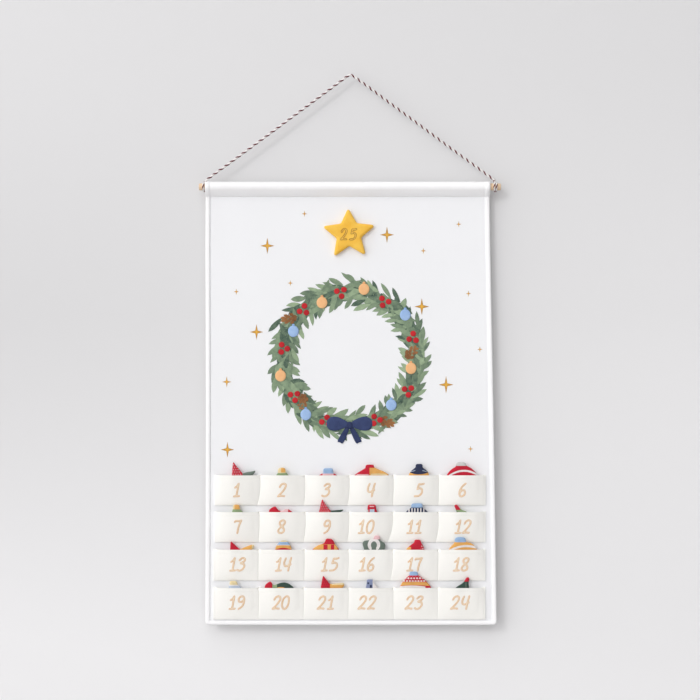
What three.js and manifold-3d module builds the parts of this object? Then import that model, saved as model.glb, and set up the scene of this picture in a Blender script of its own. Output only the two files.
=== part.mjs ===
// A fabric countdown calendar that hangs on a wall. A lined cloth panel is folded over a wooden dowel,
// twine is tied to the dowel's two ends, a padded star sits near the top, and four strips of cloth make
// twenty-four pockets, each with a padded ornament standing in it.
// Millimetres, +Z up, the front faces -Y. The origin is where the twine bends over its nail.
import * as THREE from "three";
import { mergeVertices } from "three/addons/utils/BufferGeometryUtils.js";
import Module from "manifold-3d";

const wasm = await Module();
wasm.setup();

// Fits shared by all pieces
const SEAT_GAP = 0.3; // between a piece and what it rests on

// Dowel
const DOWEL_LENGTH = 486.4;
const DOWEL_DIAMETER = 11;
const DOWEL_END_ROUND = 0.9;
const DOWEL_DROP = 182.8; // from the nail down to the dowel's axis
const DOWEL_CENTRE_X = -0.5;
const DOWEL_SIDES = 24;

// Twine hanger
const CORD_DIAMETER = 2.6;
const CORD_SIDES = 8;
const CORD_STEPS = 76;
const LOOP_SLACK = 0.3; // between the dowel and the loop tied round it
const LOOP_LEFT_X = -234.8;
const LOOP_RIGHT_X = 232.9;
const LOOP_STEPS = 20;
const KNOT_DIAMETER = 4.4;
const KNOT_HEIGHT = 4.6;
const KNOT_SIDES = 10;
const KNOT_RINGS = 6;

// The route of the twine's middle, from the left knot over the nail to the right knot
const CORD_ROUTE = [
  [-232.8, 0, -172.9],
  [-222, 0, -164.8],
  [-200, 0, -148.3],
  [-170, 0, -125.9],
  [-140, 0, -103.4],
  [-110, 0, -81],
  [-80, 0, -58.5],
  [-50, 0, -36.1],
  [-25, 0, -17.4],
  [-11, 0, -6.9],
  [-5, 0, -2.4],
  [-3.2, 0, -1.1],
  [-1.7, 0, -0.3],
  [0, 0, 0],
  [1.7, 0, -0.3],
  [3.2, 0, -1.1],
  [5, 0, -2.4],
  [11, 0, -7],
  [25, 0, -17.5],
  [50, 0, -36.4],
  [80, 0, -59],
  [110, 0, -81.7],
  [140, 0, -104.3],
  [170, 0, -126.9],
  [200, 0, -149.6],
  [221, 0, -165.4],
  [230.9, 0, -172.9],
];

// Panel cloth and its layers
const FRONT_CLOTH = 1;
const INTERLINING_CLOTH = 0.8;
const LINING_CLOTH = 0.6;
const PANEL_LEFT_X = -232.2;
const PANEL_TOP_WIDTH = 454.8;
const PANEL_FLARE = 12; // how far the right edge runs out by the bottom hem
const PANEL_HEIGHT = 686.7; // from the sleeve's seam to the bottom hem
const HEM_WIDTH = 7;
const HEM_RISE = 1.1;
const CORNER_ROUND = 3;

// Sleeve
const SLEEVE_SLACK = 0.5; // between the dowel and the cloth round it
const SLEEVE_SEAM_DROP = 15.5; // from the dowel's axis down to the seam
const SLEEVE_ARC_STEPS = 14;

// Pocket strips
const ROWS = 4;
const POCKETS_PER_ROW = 6;
const STRIP_WIDTH = 433;
const STRIP_CENTRE_X = -1.1;
const STRIP_CLOTH = 1.2;
const POCKET_HEIGHT = 48.7;
const ROW_PITCH = 60.4;
const LAST_ROW_LIFT = 10.3; // from the panel's bottom edge up to the last row
const POCKET_DEPTH = 10;
const POCKET_SEAM = 4; // flat cloth between two pockets
const POCKET_FLOOR_SEAM = 3; // flat cloth along the bottom of a row

// Star
const STAR_RADIUS = 40.5;
const STAR_INNER_RADIUS = 20.5;
const STAR_LOFT = 8;
const STAR_TIP_ROUND = 3;
const STAR_CENTRE_X = -1.4;
const STAR_DROP = 77.2; // from the dowel's axis down to the star's middle
const STAR_POINTS = 5;
const STAR_TURN = THREE.MathUtils.degToRad(2);

// Ornaments
const ORNAMENT_FOOT = 6; // from a strip's bottom edge up to the ornament's foot
const ORNAMENT_LOFT = 3;
const ORNAMENT_EDGE = 1.1;
const LIFT_CLEARANCE = 1.7; // between an ornament on its way up and the row above

// How a hem rises across its width, from its outer edge: where, how high its front stands, and how
// much of the turned-in cloth lies behind it
const HEM_ACROSS_shares = [0, 0.16, 0.5, 0.82, 1, 1.2];
const HEM_RISE_shares = [-0.25, 0.75, 1, 0.7, -0.3, 0];
const HEM_TURNED_shares = [1, 1, 1, 1, 0, 0];

// Where a pocket's cloth is bent, across the pocket from its middle and up from its floor seam
const POCKET_ACROSS_shares = [-1, -0.88, -0.55, 0, 0.55, 0.88, 1];
const POCKET_UP_shares = [0, 0.12, 0.35, 0.7, 1];
const POCKET_SIDE_share = 0.8; // of the cloth, by which a pocket's outside is wider than its inside

// How a padded piece swells: rings from its back to its front, as shares of its outline and its loft
const CUSHION_RING_shares = [0.93, 1, 0.9, 0.66, 0.33];
const CUSHION_LOFT_shares = [0, 0.3, 0.62, 0.88, 0.98];
const ORNAMENT_RING_shares = [1, 1, 0.82];
const ORNAMENT_LOFT_shares = [0, ORNAMENT_EDGE / ORNAMENT_LOFT, 0.85];

// One entry for each ornament, in the order of the pockets. Width and shift are shares of the pocket's
// width, rise (above the pocket's mouth) and cap are shares of the pocket's height, and cap_width is a
// share of the ornament's width. Felt names its main colour.
const ORNAMENT_shares = [
  { form: "cone", felt: "red", width: 0.68, rise: 0.435, shift: -0.04 },
  { form: "bell", felt: "green", width: 0.55, rise: 0.26, shift: -0.013, cap: 0.1, cap_width: 0.24 },
  { form: "bauble", felt: "red", width: 0.61, rise: 0.245, shift: 0.017, cap: 0.08, cap_width: 0.26 },
  { form: "bauble", felt: "red", width: 0.8, rise: 0.36, shift: -0.011, cap: 0.08, cap_width: 0.24 },
  { form: "bauble", felt: "navy", width: 0.55, rise: 0.392, shift: 0.04, cap: 0.11, cap_width: 0.28 },
  { form: "bauble", felt: "red", width: 0.78, rise: 0.45, shift: 0.003, cap: 0.12, cap_width: 0.3 },
  { form: "sprig", felt: "green", width: 0.56, rise: 0.24, shift: 0 },
  { form: "bell", felt: "red", width: 0.72, rise: 0.175, shift: -0.03, cap: 0.07, cap_width: 0.2 },
  { form: "cone", felt: "red", width: 0.68, rise: 0.415, shift: -0.06 },
  { form: "bauble", felt: "cream", width: 0.55, rise: 0.245, shift: 0, cap: 0.13, cap_width: 0.3 },
  { form: "bauble", felt: "navy", width: 0.64, rise: 0.27, shift: 0.012, cap: 0.085, cap_width: 0.24 },
  { form: "sprig", felt: "green", width: 0.56, rise: 0.24, shift: -0.03 },
  { form: "cone", felt: "red", width: 0.66, rise: 0.26, shift: -0.058 },
  { form: "bell", felt: "blue", width: 0.6, rise: 0.31, shift: 0.019, cap: 0.08, cap_width: 0.22 },
  { form: "bauble", felt: "gold", width: 0.69, rise: 0.355, shift: -0.033, cap: 0.09, cap_width: 0.24 },
  { form: "bauble", felt: "cream", width: 0.6, rise: 0.445, shift: 0.045, cap: 0.1, cap_width: 0.3 },
  { form: "bauble", felt: "red", width: 0.53, rise: 0.33, shift: -0.02, cap: 0.1, cap_width: 0.28 },
  { form: "bauble", felt: "gold", width: 0.73, rise: 0.405, shift: 0.038, cap: 0.09, cap_width: 0.24 },
  { form: "bell", felt: "blue", width: 0.5, rise: 0.255, shift: -0.06, cap: 0.07, cap_width: 0.24 },
  { form: "bell", felt: "green", width: 0.76, rise: 0.205, shift: -0.03, cap: 0.07, cap_width: 0.18 },
  { form: "cone", felt: "red", width: 0.68, rise: 0.405, shift: -0.039 },
  { form: "bauble", felt: "blue", width: 0.46, rise: 0.275, shift: 0.006, cap: 0.1, cap_width: 0.34 },
  { form: "bauble", felt: "red", width: 0.76, rise: 0.555, shift: -0.017, cap: 0.11, cap_width: 0.24 },
  { form: "cone", felt: "green", width: 0.56, rise: 0.35, shift: 0.06 },
];

// Outlines of the ornaments' forms as shares of half the width and of the height. They run
// anticlockwise as seen from the front.
const BELL_shares = [
  [0, 0],
  [0.5, 0.01],
  [0.9, 0.03],
  [1, 0.09],
  [0.96, 0.17],
  [0.82, 0.3],
  [0.72, 0.5],
  [0.62, 0.72],
  [0.44, 0.88],
  [0.24, 0.95],
];
const CONE_shares = [
  [-0.86, 0],
  [0.86, 0],
  [0.97, 0.06],
  [0.86, 0.26],
  [0.8, 0.44],
  [0.98, 0.62],
  [0.9, 0.76],
  [0.62, 0.76],
  [0.33, 0.69],
  [0.14, 0.94],
  [0, 1],
  [-0.13, 0.94],
  [-0.5, 0.5],
  [-0.97, 0.06],
];
const SPRIG_shares = [
  [0, 0],
  [0.3, 0.12],
  [0.72, 0.1],
  [0.95, 0.3],
  [0.8, 0.5],
  [0.98, 0.72],
  [0.66, 0.84],
  [0.34, 0.76],
  [0.26, 0.92],
  [0, 1],
];
const BAUBLE_STEPS = 18;

// Sizes that follow from the ones above
const DOWEL_RADIUS = DOWEL_DIAMETER / 2;
const CORD_RADIUS = CORD_DIAMETER / 2;
const SLEEVE_INNER_RADIUS = DOWEL_RADIUS + SLEEVE_SLACK;
const SLEEVE_WALL = FRONT_CLOTH + INTERLINING_CLOTH + LINING_CLOTH;
const PANEL_FRONT_Y = SLEEVE_INNER_RADIUS;
const PANEL_BACK_Y = PANEL_FRONT_Y + SLEEVE_WALL;
const PANEL_TOP_Z = -DOWEL_DROP - SLEEVE_SEAM_DROP;
const LAST_ROW_Z = PANEL_TOP_Z - PANEL_HEIGHT + LAST_ROW_LIFT;
const POCKET_PITCH = STRIP_WIDTH / POCKETS_PER_ROW;
const POCKET_HALF_WIDTH = (POCKET_PITCH - POCKET_SEAM) / 2;
// Each ornament leans out so far that it passes in front of the row above when it is lifted.
const ORNAMENT_LEAN = Math.atan2(
  POCKET_DEPTH + STRIP_CLOTH + LIFT_CLEARANCE,
  ROW_PITCH + POCKET_HEIGHT - ORNAMENT_FOOT,
);

// Materials
const cloth = (colour, roughness) =>
  new THREE.MeshStandardMaterial({ color: colour, roughness, metalness: 0 });
const PANEL_CLOTH = cloth(0xf4f4f5, 0.9);
const LINING = cloth(0xeeeeec, 0.92);
const STRIP = cloth(0xf6f4ee, 0.88);
const TWINE = cloth(0xc9303a, 0.85);
const STAR_FELT = cloth(0xf6c246, 0.8);
const ORNAMENT_FELTS = {
  red: cloth(0xc8322b, 0.85),
  green: cloth(0x5f7f4e, 0.85),
  blue: cloth(0xa8c9e6, 0.85),
  gold: cloth(0xd9a445, 0.85),
  navy: cloth(0x27355f, 0.85),
  cream: cloth(0xe9e4da, 0.85),
};
const PALE_WOOD = new THREE.MeshStandardMaterial({ color: 0xe2bd8c, roughness: 0.6 });

// A closed solid between two grids of points, front[row][column] facing the viewer and back behind it.
function gridSolid(front, back) {
  const rows = front.length;
  const columns = front[0].length;
  const positions = [...front.flat(), ...back.flat()].flat();
  const at = (side, row, column) => side * rows * columns + row * columns + column;
  const faces = [];
  const quad = (a, b, c, d) => faces.push(a, b, c, a, c, d);
  for (let r = 0; r + 1 < rows; r++) {
    for (let c = 0; c + 1 < columns; c++) {
      quad(at(0, r, c), at(0, r, c + 1), at(0, r + 1, c + 1), at(0, r + 1, c));
      quad(at(1, r, c), at(1, r + 1, c), at(1, r + 1, c + 1), at(1, r, c + 1));
    }
  }
  for (let c = 0; c + 1 < columns; c++) {
    const last = rows - 1;
    quad(at(1, 0, c), at(1, 0, c + 1), at(0, 0, c + 1), at(0, 0, c));
    quad(at(0, last, c), at(0, last, c + 1), at(1, last, c + 1), at(1, last, c));
  }
  for (let r = 0; r + 1 < rows; r++) {
    const last = columns - 1;
    quad(at(0, r, 0), at(0, r + 1, 0), at(1, r + 1, 0), at(1, r, 0));
    quad(at(0, r, last), at(1, r, last), at(1, r + 1, last), at(0, r + 1, last));
  }
  return indexed(positions, faces);
}

// A padded solid over an outline, swelling towards the viewer: rings of the outline drawn in towards
// its middle, each at its own share of the loft.
function paddedSolid(outline, middle, loft, ringShares, loftShares) {
  const positions = [middle.x, middle.y, 0];
  ringShares.forEach((share, ring) => {
    for (const point of outline) {
      const x = middle.x + (point.x - middle.x) * share;
      const y = middle.y + (point.y - middle.y) * share;
      positions.push(x, y, loft * loftShares[ring]);
    }
  });
  positions.push(middle.x, middle.y, loft);
  const around = outline.length;
  const front = 1 + around * ringShares.length;
  const faces = [];
  for (let i = 0; i < around; i++) {
    const next = (i + 1) % around;
    faces.push(0, 1 + next, 1 + i);
    for (let ring = 0; ring + 1 < ringShares.length; ring++) {
      const low = 1 + ring * around;
      const high = low + around;
      faces.push(low + i, low + next, high + next, low + i, high + next, high + i);
    }
    faces.push(front, front - around + i, front - around + next);
  }
  return indexed(positions, faces);
}

function indexed(positions, faces) {
  const geometry = new THREE.BufferGeometry();
  geometry.setAttribute("position", new THREE.Float32BufferAttribute(positions, 3));
  geometry.setIndex(faces);
  geometry.computeVertexNormals();
  return geometry;
}

// Joins two closed geometries into one.
function joined(first, second) {
  const [a, b] = [first, second].map((geometry) => {
    const bare = geometry.clone();
    bare.deleteAttribute("normal");
    bare.deleteAttribute("uv");
    const merged = mergeVertices(bare);
    return new wasm.Manifold(
      new wasm.Mesh({
        numProp: 3,
        vertProperties: merged.attributes.position.array,
        triVerts: new Uint32Array(merged.index.array),
      }),
    );
  });
  const mesh = a.add(b).getMesh();
  return indexed(Array.from(mesh.vertProperties), Array.from(mesh.triVerts));
}

function named(name, geometry, material) {
  const mesh = new THREE.Mesh(geometry, material);
  mesh.name = name;
  return mesh;
}

// Dowel: a round rod along X with eased ends.
function dowel() {
  const half = DOWEL_LENGTH / 2;
  const profile = [
    new THREE.Vector2(0, -half),
    new THREE.Vector2(DOWEL_RADIUS - DOWEL_END_ROUND, -half),
    new THREE.Vector2(DOWEL_RADIUS, -half + DOWEL_END_ROUND),
    new THREE.Vector2(DOWEL_RADIUS, half - DOWEL_END_ROUND),
    new THREE.Vector2(DOWEL_RADIUS - DOWEL_END_ROUND, half),
    new THREE.Vector2(0, half),
  ];
  const rod = named("dowel", new THREE.LatheGeometry(profile, DOWEL_SIDES), PALE_WOOD);
  rod.rotation.z = -Math.PI / 2;
  rod.position.set(DOWEL_CENTRE_X, 0, -DOWEL_DROP);
  return rod;
}

// The free stretch of twine, as one tube along its route.
function hangingCord() {
  const route = new THREE.CatmullRomCurve3(CORD_ROUTE.map((p) => new THREE.Vector3(...p)));
  const section = new THREE.Shape();
  for (let i = 0; i < CORD_SIDES; i++) {
    const angle = (2 * Math.PI * i) / CORD_SIDES;
    const x = CORD_RADIUS * Math.cos(angle);
    const y = CORD_RADIUS * Math.sin(angle);
    if (i === 0) section.moveTo(x, y);
    else section.lineTo(x, y);
  }
  const tube = new THREE.ExtrudeGeometry(section, {
    steps: CORD_STEPS,
    bevelEnabled: false,
    extrudePath: route,
  });
  return named("hanging_cord", tube, TWINE);
}

// The turn of twine round one end of the dowel, with the knot that closes it on top.
function cordLoop(name, x) {
  const radius = DOWEL_RADIUS + LOOP_SLACK + CORD_RADIUS;
  const ring = new THREE.TorusGeometry(radius, CORD_RADIUS, CORD_SIDES, LOOP_STEPS);
  ring.rotateY(Math.PI / 2);
  const knot = new THREE.SphereGeometry(KNOT_DIAMETER / 2, KNOT_SIDES, KNOT_RINGS);
  knot.rotateX(Math.PI / 2);
  knot.scale(1, 1, KNOT_HEIGHT / KNOT_DIAMETER);
  knot.translate(0, 0, radius + CORD_RADIUS);
  const loop = named(name, joined(ring, knot), TWINE);
  loop.position.set(x, 0, -DOWEL_DROP);
  return loop;
}

// The sleeve's section, in Y and Z from the dowel's axis: straight down the back, round the dowel, and
// from the dowel's front straight down to the seam.
function sleeveSection() {
  const outer = SLEEVE_INNER_RADIUS + SLEEVE_WALL;
  const seam = new THREE.Vector2(PANEL_FRONT_Y, -SLEEVE_SEAM_DROP);
  const leave = seam.angle() - Math.acos(outer / seam.length()) - 2 * Math.PI;
  const arc = (radius) => {
    const points = [];
    for (let i = 0; i <= SLEEVE_ARC_STEPS; i++) {
      const angle = (i / SLEEVE_ARC_STEPS) * (leave + 2 * Math.PI);
      points.push(new THREE.Vector2(radius * Math.cos(angle), radius * Math.sin(angle)));
    }
    return points;
  };
  const outside = arc(outer);
  const inside = arc(SLEEVE_INNER_RADIUS);
  const last = outside.at(-1);
  const slope = (seam.y - last.y) / (seam.x - last.x);
  const innerLast = inside.at(-1);
  const closes = innerLast.y + slope * (SLEEVE_INNER_RADIUS - innerLast.x);
  const shape = new THREE.Shape([new THREE.Vector2(outer, seam.y), ...outside, seam]);
  shape.holes.push(new THREE.Path([...inside, new THREE.Vector2(SLEEVE_INNER_RADIUS, closes)]));
  return shape;
}

function rodSleeve() {
  const geometry = new THREE.ExtrudeGeometry(sleeveSection(), {
    depth: PANEL_TOP_WIDTH,
    bevelEnabled: false,
    curveSegments: SLEEVE_ARC_STEPS,
  });
  const alongX = new THREE.Matrix4().makeBasis(
    new THREE.Vector3(0, 1, 0),
    new THREE.Vector3(0, 0, 1),
    new THREE.Vector3(1, 0, 0),
  );
  geometry.applyMatrix4(alongX);
  const sleeve = named("rod_sleeve", geometry, PANEL_CLOTH);
  sleeve.position.set(PANEL_LEFT_X, 0, -DOWEL_DROP);
  return sleeve;
}

// How far right the panel's edge stands at a height below its top.
const panelRight = (drop) => PANEL_TOP_WIDTH + (PANEL_FLARE * drop) / PANEL_HEIGHT;

// The panel's front cloth with its hems, from its top left corner, X right, Y up, Z to the viewer.
function frontPanel() {
  const hems = HEM_ACROSS_shares.map((share, i) => ({
    inset: HEM_WIDTH * share,
    rise: HEM_RISE * HEM_RISE_shares[i],
    turned: INTERLINING_CLOTH * HEM_TURNED_shares[i],
  }));
  const field = { rise: 0, turned: 0 };
  const rows = [...hems.map((hem) => ({ ...hem, drop: PANEL_HEIGHT - hem.inset })), { ...field, drop: 0 }];
  const sides = [...hems.map((hem) => [hem, 0]), ...hems.map((hem) => [hem, 1]).reverse()];
  const front = [];
  const back = [];
  for (const row of rows) {
    const frontRow = [];
    const backRow = [];
    for (const [hem, right] of sides) {
      const corner = row.inset === 0 && hem.inset === 0 ? CORNER_ROUND * (1 - Math.SQRT1_2) : 0;
      const drop = row.drop - corner;
      const inset = hem.inset + corner;
      const x = right ? panelRight(row.drop) - inset : inset;
      const outermost = row.inset === undefined || hem.inset < row.inset ? hem : row;
      frontRow.push([x, -drop, FRONT_CLOTH + outermost.rise]);
      backRow.push([x, -drop, -outermost.turned]);
    }
    front.push(frontRow);
    back.push(backRow);
  }
  return named("front_panel", gridSolid(front, back), PANEL_CLOTH);
}

// A flat layer of the panel, inset from its side and bottom edges.
function flatLayer(name, inset, thickness, material) {
  const bottom = PANEL_HEIGHT - inset;
  const shape = new THREE.Shape();
  shape.moveTo(inset, 0);
  shape.lineTo(inset, -bottom + CORNER_ROUND);
  shape.quadraticCurveTo(inset, -bottom, inset + CORNER_ROUND, -bottom);
  const right = panelRight(bottom) - inset;
  shape.lineTo(right - CORNER_ROUND, -bottom);
  shape.quadraticCurveTo(right, -bottom, panelRight(bottom - CORNER_ROUND) - inset, -bottom + CORNER_ROUND);
  shape.lineTo(panelRight(0) - inset, 0);
  const geometry = new THREE.ExtrudeGeometry(shape, {
    depth: thickness,
    bevelEnabled: false,
    curveSegments: 3,
  });
  return named(name, geometry, material);
}

// One row's strip, from the middle of its bottom edge, X right, Y up, Z to the viewer.
function pocketStrip(name) {
  const columns = [{ inner: -STRIP_WIDTH / 2, outer: -STRIP_WIDTH / 2, swell: 0 }];
  for (let p = 0; p < POCKETS_PER_ROW; p++) {
    for (const share of POCKET_ACROSS_shares) {
      const swell = Math.cbrt(1 - Math.abs(share) ** 3);
      const inner = pocketX(p) + share * POCKET_HALF_WIDTH;
      const outer = inner + share * STRIP_CLOTH * POCKET_SIDE_share;
      columns.push({ inner, outer, swell });
    }
  }
  columns.push({ inner: STRIP_WIDTH / 2, outer: STRIP_WIDTH / 2, swell: 0 });
  const rows = [{ up: 0, open: 0 }];
  for (const share of POCKET_UP_shares) {
    const up = POCKET_FLOOR_SEAM + share * (POCKET_HEIGHT - POCKET_FLOOR_SEAM);
    rows.push({ up, open: Math.sqrt(share) });
  }
  const surface = (side, depth) =>
    rows.map((row) =>
      columns.map((column) => [
        column[side],
        row.up,
        depth + POCKET_DEPTH * row.open * column.swell,
      ]),
    );
  const front = surface("outer", SEAT_GAP + STRIP_CLOTH);
  const back = surface("inner", SEAT_GAP);
  return named(name, gridSolid(front, back), STRIP);
}

// The middle of a pocket, along its strip.
const pocketX = (p) => (p + 0.5) * POCKET_PITCH - STRIP_WIDTH / 2;

// Star outline with eased tips, round its middle.
function starOutline() {
  const outline = [];
  for (let i = 0; i < STAR_POINTS; i++) {
    const tip = Math.PI / 2 + STAR_TURN + (2 * Math.PI * i) / STAR_POINTS;
    const out = new THREE.Vector2(Math.cos(tip), Math.sin(tip));
    const across = new THREE.Vector2(-out.y, out.x);
    const shoulder = out.clone().multiplyScalar(STAR_RADIUS - STAR_TIP_ROUND);
    outline.push(shoulder.clone().addScaledVector(across, -STAR_TIP_ROUND / 2));
    outline.push(out.clone().multiplyScalar(STAR_RADIUS - STAR_TIP_ROUND / 4));
    outline.push(shoulder.clone().addScaledVector(across, STAR_TIP_ROUND / 2));
    const valley = tip + Math.PI / STAR_POINTS;
    outline.push(
      new THREE.Vector2(Math.cos(valley), Math.sin(valley)).multiplyScalar(STAR_INNER_RADIUS),
    );
  }
  return outline;
}

function starCushion() {
  const geometry = paddedSolid(
    starOutline(),
    new THREE.Vector2(0, 0),
    STAR_LOFT,
    CUSHION_RING_shares,
    CUSHION_LOFT_shares,
  );
  return named("star_cushion", geometry, STAR_FELT);
}

// A ball with a straight-sided cap on top of it.
function baubleOutline(half, height, capHeight, capWidth) {
  const rise = (height - capHeight) / 2;
  const meets = Math.acos(capWidth / 2 / half);
  const outline = [];
  for (let i = 0; i <= BAUBLE_STEPS; i++) {
    const angle = Math.PI - meets + (i / BAUBLE_STEPS) * (Math.PI + 2 * meets);
    outline.push(new THREE.Vector2(half * Math.cos(angle), rise + rise * Math.sin(angle)));
  }
  outline.push(new THREE.Vector2(capWidth / 2, height), new THREE.Vector2(-capWidth / 2, height));
  return outline;
}

// An outline from a table of shares, mirrored to the left where the table holds its right half only.
function outlineFrom(shares, half, height, mirrored) {
  const right = shares.map(([x, y]) => new THREE.Vector2(x * half, y * height));
  if (!mirrored) return right;
  const left = right.filter((point) => point.x > 0).map((p) => new THREE.Vector2(-p.x, p.y));
  return [...right, ...left.reverse()];
}

// A bell with a straight-sided knob on top of it.
function bellOutline(half, height, capHeight, capWidth) {
  const body = outlineFrom(BELL_shares, half, height - capHeight, false);
  const knob = [new THREE.Vector2(capWidth / 2, height)];
  const right = [...body, ...knob];
  const left = right.filter((point) => point.x > 0).map((p) => new THREE.Vector2(-p.x, p.y));
  return [...right, ...left.reverse()];
}

// One ornament, from its foot, X right, Y up along its lean, Z to the viewer.
function ornament(index) {
  const shares = ORNAMENT_shares[index];
  const half = (shares.width * POCKET_PITCH) / 2;
  const upright = POCKET_HEIGHT * (1 + shares.rise) - ORNAMENT_FOOT;
  const height = upright / Math.cos(ORNAMENT_LEAN);
  const capHeight = POCKET_HEIGHT * (shares.cap ?? 0);
  const capWidth = 2 * half * (shares.cap_width ?? 0);
  const outlines = {
    bauble: () => baubleOutline(half, height, capHeight, capWidth),
    bell: () => bellOutline(half, height, capHeight, capWidth),
    cone: () => outlineFrom(CONE_shares, half, height, false),
    sprig: () => outlineFrom(SPRIG_shares, half, height, true),
  };
  const geometry = paddedSolid(
    outlines[shares.form](),
    new THREE.Vector2(0, (height - capHeight) / 2),
    ORNAMENT_LOFT,
    ORNAMENT_RING_shares,
    ORNAMENT_LOFT_shares,
  );
  const number = String(index + 1).padStart(2, "0");
  const piece = named("ornament_" + number, geometry, ORNAMENT_FELTS[shares.felt]);
  piece.rotation.x = ORNAMENT_LEAN;
  piece.position.set(shares.shift * POCKET_PITCH, ORNAMENT_FOOT, SEAT_GAP);
  return piece;
}

// One row: its strip and its six ornaments.
function pocketRow(row) {
  const group = new THREE.Group();
  group.add(pocketStrip("pocket_strip_row_" + (row + 1)));
  for (let p = 0; p < POCKETS_PER_ROW; p++) {
    const pocket = new THREE.Group();
    pocket.position.x = pocketX(p);
    pocket.add(ornament(row * POCKETS_PER_ROW + p));
    group.add(pocket);
  }
  return group;
}

// The panel and what is sewn to it or stands in its pockets.
function panel() {
  const group = new THREE.Group();
  group.add(rodSleeve());
  const layers = new THREE.Group();
  layers.rotation.x = Math.PI / 2;
  layers.position.set(PANEL_LEFT_X, PANEL_FRONT_Y + FRONT_CLOTH, PANEL_TOP_Z);
  const interlining = flatLayer("interlining", HEM_WIDTH + SEAT_GAP, INTERLINING_CLOTH, LINING);
  interlining.position.z = -INTERLINING_CLOTH;
  const lining = flatLayer("back_lining", 0, LINING_CLOTH, LINING);
  lining.position.z = -INTERLINING_CLOTH - LINING_CLOTH;
  layers.add(frontPanel(), interlining, lining);
  group.add(layers);

  const face = new THREE.Group();
  face.rotation.x = Math.PI / 2;
  face.position.set(0, PANEL_FRONT_Y, 0);
  const star = starCushion();
  star.position.set(STAR_CENTRE_X, -DOWEL_DROP - STAR_DROP, SEAT_GAP);
  face.add(star);
  for (let row = 0; row < ROWS; row++) {
    const strip = pocketRow(row);
    strip.position.set(STRIP_CENTRE_X, LAST_ROW_Z + (ROWS - 1 - row) * ROW_PITCH, 0);
    face.add(strip);
  }
  group.add(face);
  return group;
}

const calendar = new THREE.Group();
calendar.add(dowel(), hangingCord());
calendar.add(cordLoop("cord_loop_left", LOOP_LEFT_X), cordLoop("cord_loop_right", LOOP_RIGHT_X));
calendar.add(panel());

export default calendar;
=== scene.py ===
"""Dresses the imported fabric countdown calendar: its twine, dowel, cloth panel, pockets, star, ornaments
and thread work. Metres, +Z up, the front faces -Y, and the twine bends over its nail at the origin."""

import math

import bpy
import numpy as np
from bpy.props import FloatProperty, FloatVectorProperty, IntProperty, PointerProperty
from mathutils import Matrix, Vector


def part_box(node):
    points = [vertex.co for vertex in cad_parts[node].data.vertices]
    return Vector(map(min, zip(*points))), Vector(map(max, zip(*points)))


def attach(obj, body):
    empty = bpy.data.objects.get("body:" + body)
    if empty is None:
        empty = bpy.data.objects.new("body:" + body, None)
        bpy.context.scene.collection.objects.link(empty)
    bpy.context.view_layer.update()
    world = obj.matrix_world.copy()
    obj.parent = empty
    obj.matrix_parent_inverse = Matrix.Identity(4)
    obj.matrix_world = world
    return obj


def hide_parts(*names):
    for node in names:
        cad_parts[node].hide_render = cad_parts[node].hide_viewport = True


bl_info = {
    "name": "Fabric countdown calendar",
    "version": (1, 0, 0),
    "blender": (4, 5, 0),
    "location": "3D View > Sidebar > Calendar",
    "description": "Cloth, twine, wood and thread for the packed calendar",
    "category": "Object",
}

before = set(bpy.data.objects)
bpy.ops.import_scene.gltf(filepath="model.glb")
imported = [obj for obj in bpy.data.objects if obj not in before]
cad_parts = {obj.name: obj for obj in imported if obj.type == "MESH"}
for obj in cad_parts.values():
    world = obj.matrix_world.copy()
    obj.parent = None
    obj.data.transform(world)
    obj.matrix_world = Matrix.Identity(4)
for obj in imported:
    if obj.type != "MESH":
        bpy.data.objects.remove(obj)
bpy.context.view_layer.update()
MM = 0.001
TAU = 2 * math.pi
ROOM_SIZE = 8


def srgb(red, green, blue):
    """A colour as it is seen, 0 to 255, in the linear numbers that materials take."""
    shares = [channel / 255 for channel in (red, green, blue)]
    return tuple(s / 12.92 if s <= 0.04045 else ((s + 0.055) / 1.055) ** 2.4 for s in shares)


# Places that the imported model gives
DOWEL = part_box("dowel")
DOWEL_AXIS_Z = (DOWEL[0].z + DOWEL[1].z) / 2
DOWEL_RADIUS = (DOWEL[1].z - DOWEL[0].z) / 2
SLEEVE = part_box("rod_sleeve")
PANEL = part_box("front_panel")
PANEL_LEFT = SLEEVE[0].x
PANEL_RIGHT_TOP = SLEEVE[1].x + 1.6 * MM
PANEL_RIGHT_BOTTOM = PANEL[1].x + 1.8 * MM
PANEL_TOP = SLEEVE[0].z
PANEL_BOTTOM = PANEL[0].z - 1.1 * MM
ROW_DROPS = (0, -1.2 * MM, 0, 2 * MM)
ROW_LIFTS = (0, 1.6 * MM, 1.8 * MM, 0.9 * MM)
STRIPS = [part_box(f"pocket_strip_row_{row + 1}") for row in range(4)]
for strip, drop, lift in zip(STRIPS, ROW_DROPS, ROW_LIFTS):
    strip[0].z -= drop
    strip[1].z += lift
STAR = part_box("star_cushion")

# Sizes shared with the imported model
CORD_DIAMETER = 2.6 * MM
SEAT_GAP = 0.3 * MM
FACE_Y = 6 * MM  # the front cloth's face
FRONT_CLOTH = 1 * MM
INTERLINING = 0.8 * MM
LINING = 0.6 * MM
BACK_Y = FACE_Y + FRONT_CLOTH + INTERLINING + LINING
HEM_WIDTH = 7 * MM
SLEEVE_OUTER = BACK_Y
POCKETS = 6
STRIP_CLOTH = 1.2 * MM
POCKET_DEPTH = 10 * MM
POCKET_CREST = 12.3 * MM
FLOOR_CREST = 2.4 * MM
MOUTH_HEM = 5.5 * MM
POCKET_SEAM = 4 * MM
SEAM_REACH = 15 * MM
FLOOR_SEAM = 3 * MM
POCKET_HEIGHT = STRIPS[0][1].z - STRIPS[0][0].z
STRIP_LEFT = STRIPS[0][0].x
STRIP_WIDTH = STRIPS[0][1].x - STRIPS[0][0].x
POCKET_PITCH = STRIP_WIDTH / POCKETS
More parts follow.
